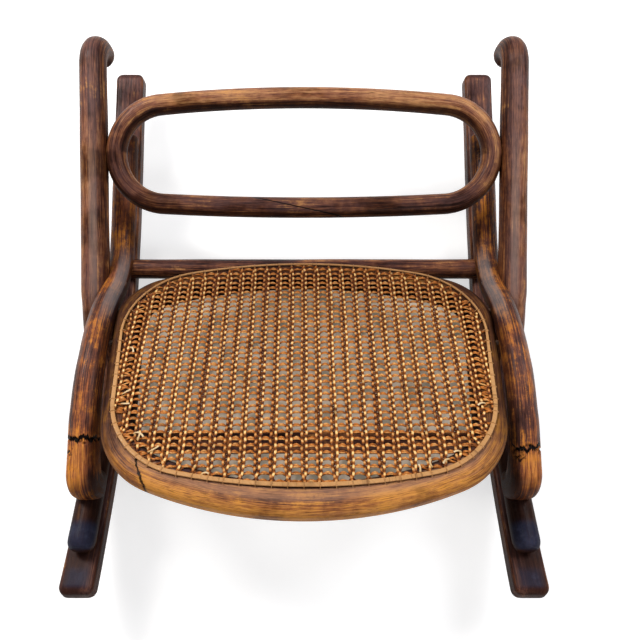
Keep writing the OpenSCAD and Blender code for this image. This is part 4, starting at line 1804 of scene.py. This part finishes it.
@dataclass
class Binding:
    """The flat cane that covers the holes, and the loops that tie it down."""

    width: float = 3.5
    rear_width: float = 1.9
    thick: float = 1.4
    base: float = 1.3
    loops: int = HOLES
    loop_height: float = 2.1
    loop_width: float = 1.3
    loop_thick: float = 0.5

    def build(self, finish: CaneFinish) -> None:
        """Makes the band and its loops.

        Args:
            finish: the finish that it gets.
        """
        material = finish.build()
        outline = CANE.inset(self.width / 2)
        line = outline.line(2.0, 0.0, self.base + self.thick / 2)
        wide = self.width - (self.width - self.rear_width) * soft(line.place[:, 1], -40, 70)
        line = replace(line, place=line.place + line.side * ((self.width - wide) / 2)[:, None], d=wide)
        skin = sweep(line, BarSection(self.width, self.thick, 0.55, 3, 2, True))
        band = skin_mesh("binding_band", skin)
        patchy = 0.55 + 0.16 * np.sin(line.s * 0.037) + 0.1 * np.sin(line.s * 0.11 + 2)
        values = {"tone": patchy, "run": line.s / 1000, "lift": 0.5 + 0 * line.s}
        paint(band.data, **{key: np.repeat(value, skin.rows.shape[1]) for key, value in values.items()})
        add_piece(band, material, "binding", "binding_cane")
        spots = outline.points(self.loops)
        mesh = bpy.data.meshes.new("loop_spots")
        mesh.from_pydata((np.column_stack([spots[:, :2], np.full(self.loops, 0.9)]) / 1000).tolist(), [], [])
        rng = random.Random(3)
        paint(mesh, turn=np.radians(spots[:, 2]), tone=[rng.uniform(0.3, 0.8) for _ in range(self.loops)],
              lift=[rng.uniform(0.4, 0.6) for _ in range(self.loops)])
        tree = GeoTree("loops_form", material, Reach=self.width / 2 + 0.6, Height=self.loop_height,
                       Width=self.loop_width, Thickness=self.loop_thick)
        arc = tree.add("GeometryNodeCurveArc", {"mode": "RADIUS"},
                       {"Resolution": 11, "Radius": 1.0, "Start Angle": 0.0, "Sweep Angle": math.pi}, "Curve")
        size = tree.add("ShaderNodeCombineXYZ", None, {0: tree.arg("Reach"), 1: tree.arg("Height"), 2: 1.0})
        oval = tree.add("GeometryNodeTransform", None, {"Geometry": arc, "Scale": size})
        stood = tree.add("GeometryNodeTransform", None, {"Geometry": oval, "Rotation": (math.pi / 2, 0.0, math.pi / 2)})
        loop = tree.tube(stood, tree.arg("Thickness"), tree.arg("Width"))
        turn = tree.add("GeometryNodeInputNamedAttribute", {"data_type": "FLOAT"}, {"Name": "turn"})
        angles = tree.add("ShaderNodeCombineXYZ", None, {2: turn})
        placed = tree.add("GeometryNodeInstanceOnPoints", None,
                          {"Points": tree.arg("Geometry"), "Instance": loop, "Rotation": angles})
        obj = place_cane("binding_loops_cane", tree.apply("binding_loops_cane", mesh, placed))
        add_piece(obj, material, "binding", "binding_loops")


# ---- the studio


@dataclass(frozen=True)
class Lamp:
    """An area light that looks at a point above the floor's middle."""

    name: str
    place: tuple[float, float, float]
    aim: float
    size: tuple[float, float]
    power: float
    colour: Colour

    def build(self) -> None:
        """Hangs the lamp."""
        data = bpy.data.lights.new(self.name, "AREA")
        data.shape, data.size, data.size_y = "RECTANGLE", *self.size
        data.energy, data.color = self.power, self.colour
        obj = bpy.data.objects.new(self.name, data)
        obj.location = self.place
        obj.rotation_euler = (Vector((0, 0, self.aim)) - Vector(self.place)).to_track_quat("-Z", "Y").to_euler()
        bpy.context.scene.collection.objects.link(obj)


@dataclass
class Studio:
    """Floor, lights and camera."""

    eye: tuple[float, float, float] = (0.0, -0.1844, 0.6296)
    below: float = 73.95
    lens: float = 35.44
    shift: float = 0.025
    grey: Colour = (0.62, 0.62, 0.62)
    lamps: tuple[Lamp, ...] = (
        Lamp("key", (-0.85, 0.75, 1.15), 0.05, (0.5, 0.5), 21.0, (1.0, 0.97, 0.93)),
        Lamp("sky", (0.95, 0.55, 1.15), 0.05, (0.5, 0.5), 12.0, (0.97, 0.98, 1.0)),
        Lamp("front", (0.3, -1.35, 0.85), 0.1, (0.6, 0.4), 6.0, (1.0, 0.97, 0.94)))

    def floor(self) -> bpy.types.Object:
        """The pale floor: its "under" attribute marks what shows through the cane and takes a painted shadow, "far" its
        outer edge.

        Returns:
            The floor.
        """
        # the painted shadow's patch: the rim seen from the eye, projected onto the floor
        rim = REST.stand(np.column_stack([RIM.inset(14).points(120)[:, :2], np.full(120, -4.0)]))
        eye = np.array(self.eye)
        spread = eye + (rim - eye) * (eye[2] / (eye[2] - rim[:, 2]))[:, None]
        spread[:, 2] = 0.0
        middle = spread.mean(0)
        rings = [middle + (spread - middle) * k for k in (0.99, 1.03, 25.0)]
        n = len(spread)
        faces = [tuple(range(n))]
        for k in range(2):
            faces += [(k * n + i, (k + 1) * n + i, (k + 1) * n + (i + 1) % n, k * n + (i + 1) % n) for i in range(n)]
        mesh = bpy.data.meshes.new("floor")
        mesh.from_pydata(np.concatenate(rings).tolist(), [], faces)
        paint(mesh, under=np.repeat([1, 0, 0], n), far=np.repeat([0, 0, 1], n))
        mesh.update()
        if mesh.polygons[0].normal.z < 0:
            mesh.flip_normals()
        floor = bpy.data.objects.new("floor", mesh)
        bpy.context.scene.collection.objects.link(floor)
        return floor

    def air(self) -> None:
        """A dim sky that the camera sees as white."""
        bpy.context.scene.world = world = bpy.data.worlds.new("sky")
        world.use_nodes = True
        sky = NodeTree(world.node_tree)
        seen = sky.add("ShaderNodeLightPath", out="Is Camera Ray")
        colours = {6: (0.16, 0.16, 0.175), 7: (1.0, 1.0, 1.0)}
        shade = sky.add("ShaderNodeMix", {"data_type": "RGBA"}, {0: seen, **colours}, 2)
        sky.feed(world.node_tree.nodes["Background"].inputs["Color"], shade)

    def paint(self) -> bpy.types.Material:
        """The floor's finish, which glows for rays from the camera and from glossy surfaces, with a painted shadow
        where it shows through the cane.

        Returns:
            The material.
        """
        g = Graph("floor_paint")
        under = g.attribute("under")
        mottle = g.noise(g.place(), 60.0)
        # painted shadow: a dark mottled patch where the floor shows through the cane, in its colour and in its glow
        shade = g.mix(mottle, (0.20, 0.175, 0.145), (0.36, 0.31, 0.25))
        seen = g.node("ShaderNodeLightPath", out="Is Camera Ray")
        for ray in ("Is Glossy Ray", "Is Transmission Ray"):
            seen = g.maths("MAXIMUM", seen, g.node("ShaderNodeLightPath", out=ray))
        around = g.mix(g.attribute("far"), self.grey, (1.6, 1.6, 1.6))
        below = g.mix(mottle.rise(0.38, 0.62), (0.095, 0.080, 0.057), (0.27, 0.215, 0.165))
        glow = g.mix(seen, (0.0, 0.0, 0.0), g.mix(under, around, below))
        return g.finish(Base_Color=g.mix(under, self.grey, shade), Emission_Color=glow, Emission_Strength=1.0,
                        Roughness=0.9)

    def build(self) -> None:
        """Sets up the stage."""
        self.air()
        floor = self.floor()
        floor.data.materials.append(self.paint())
        for lamp in self.lamps:
            lamp.build()
        data = bpy.data.cameras.new("camera")
        data.lens, data.sensor_width, data.shift_x = self.lens, 36.0, self.shift
        camera = bpy.data.objects.new("camera", data)
        camera.location = self.eye
        camera.rotation_euler = (math.radians(90 - self.below), 0, 0)
        scene = bpy.context.scene
        scene.collection.objects.link(camera)
        scene.camera = camera
        scene.view_settings.view_transform = "Standard"


@dataclass
class Footstool:
    """The whole stool: its sub-assemblies, each with its finish."""

    parts: tuple[tuple, ...] = (
        (Rockers(), WoodFinish("rocker_stain", wear=0.2, tone=-0.07, bloom=0.35, grime_and_shade=(0.022, 0.0052, 0.0019))),
        (SideRails(), WoodFinish("rail_stain", wear=0.5, tone=0.06, bloom=0.2, warm=(0.36, 0.096, 0.019),
                                 grime_and_shade=(0.017, 0.004, 0.0015), bare=(0.78, 0.29, 0.045),
                                 pale_reflection=(0.185, 0.155, 0.15), figure=1.05, close=1.5)),
        (BackPosts(), WoodFinish("post_stain", wear=0.25, tone=0.03, bloom=0.4, grime_and_shade=(0.013, 0.0032, 0.0013))),
        (BackRing(), WoodFinish("ring_stain", wear=0.35, tone=0.05, bloom=0.3, grime_and_shade=(0.012, 0.003, 0.0012))),
        (SeatRing(), WoodFinish("rim_stain", wear=0.5, tone=0.17, bloom=0.12, warm=(0.33, 0.115, 0.026),
                                grime_and_shade=(0.014, 0.0042, 0.0026), bare=(0.68, 0.29, 0.05), pale_reflection=(0.42, 0.25, 0.17),
                                figure=0.8)),
        (Stretchers(), WoodFinish("stretcher_stain", wear=0.3, tone=-0.06, bloom=0.15)),
        (Weave(), CaneFinish("cane")),
        (Binding(), CaneFinish("binding", pale=(0.74, 0.44, 0.20), body=(0.50, 0.25, 0.09))))

    def build(self, frame: dict) -> None:
        """Dresses every piece.
        """
        for part, finish in self.parts:
            part.build(finish)
        steel = SteelFinish("old_screws").build()
        for name, node in frame["nodes"].items():
            if name.endswith("screws"):
                node.data.materials.clear()
                node.data.materials.append(steel)


def main() -> None:
    """Loads the frame, dresses it and lights it."""
    logging.basicConfig(level=logging.INFO, format="%(message)s")
    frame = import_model()
    Footstool().build(frame)
    Studio().build()


if __name__ == "__main__":
    main()
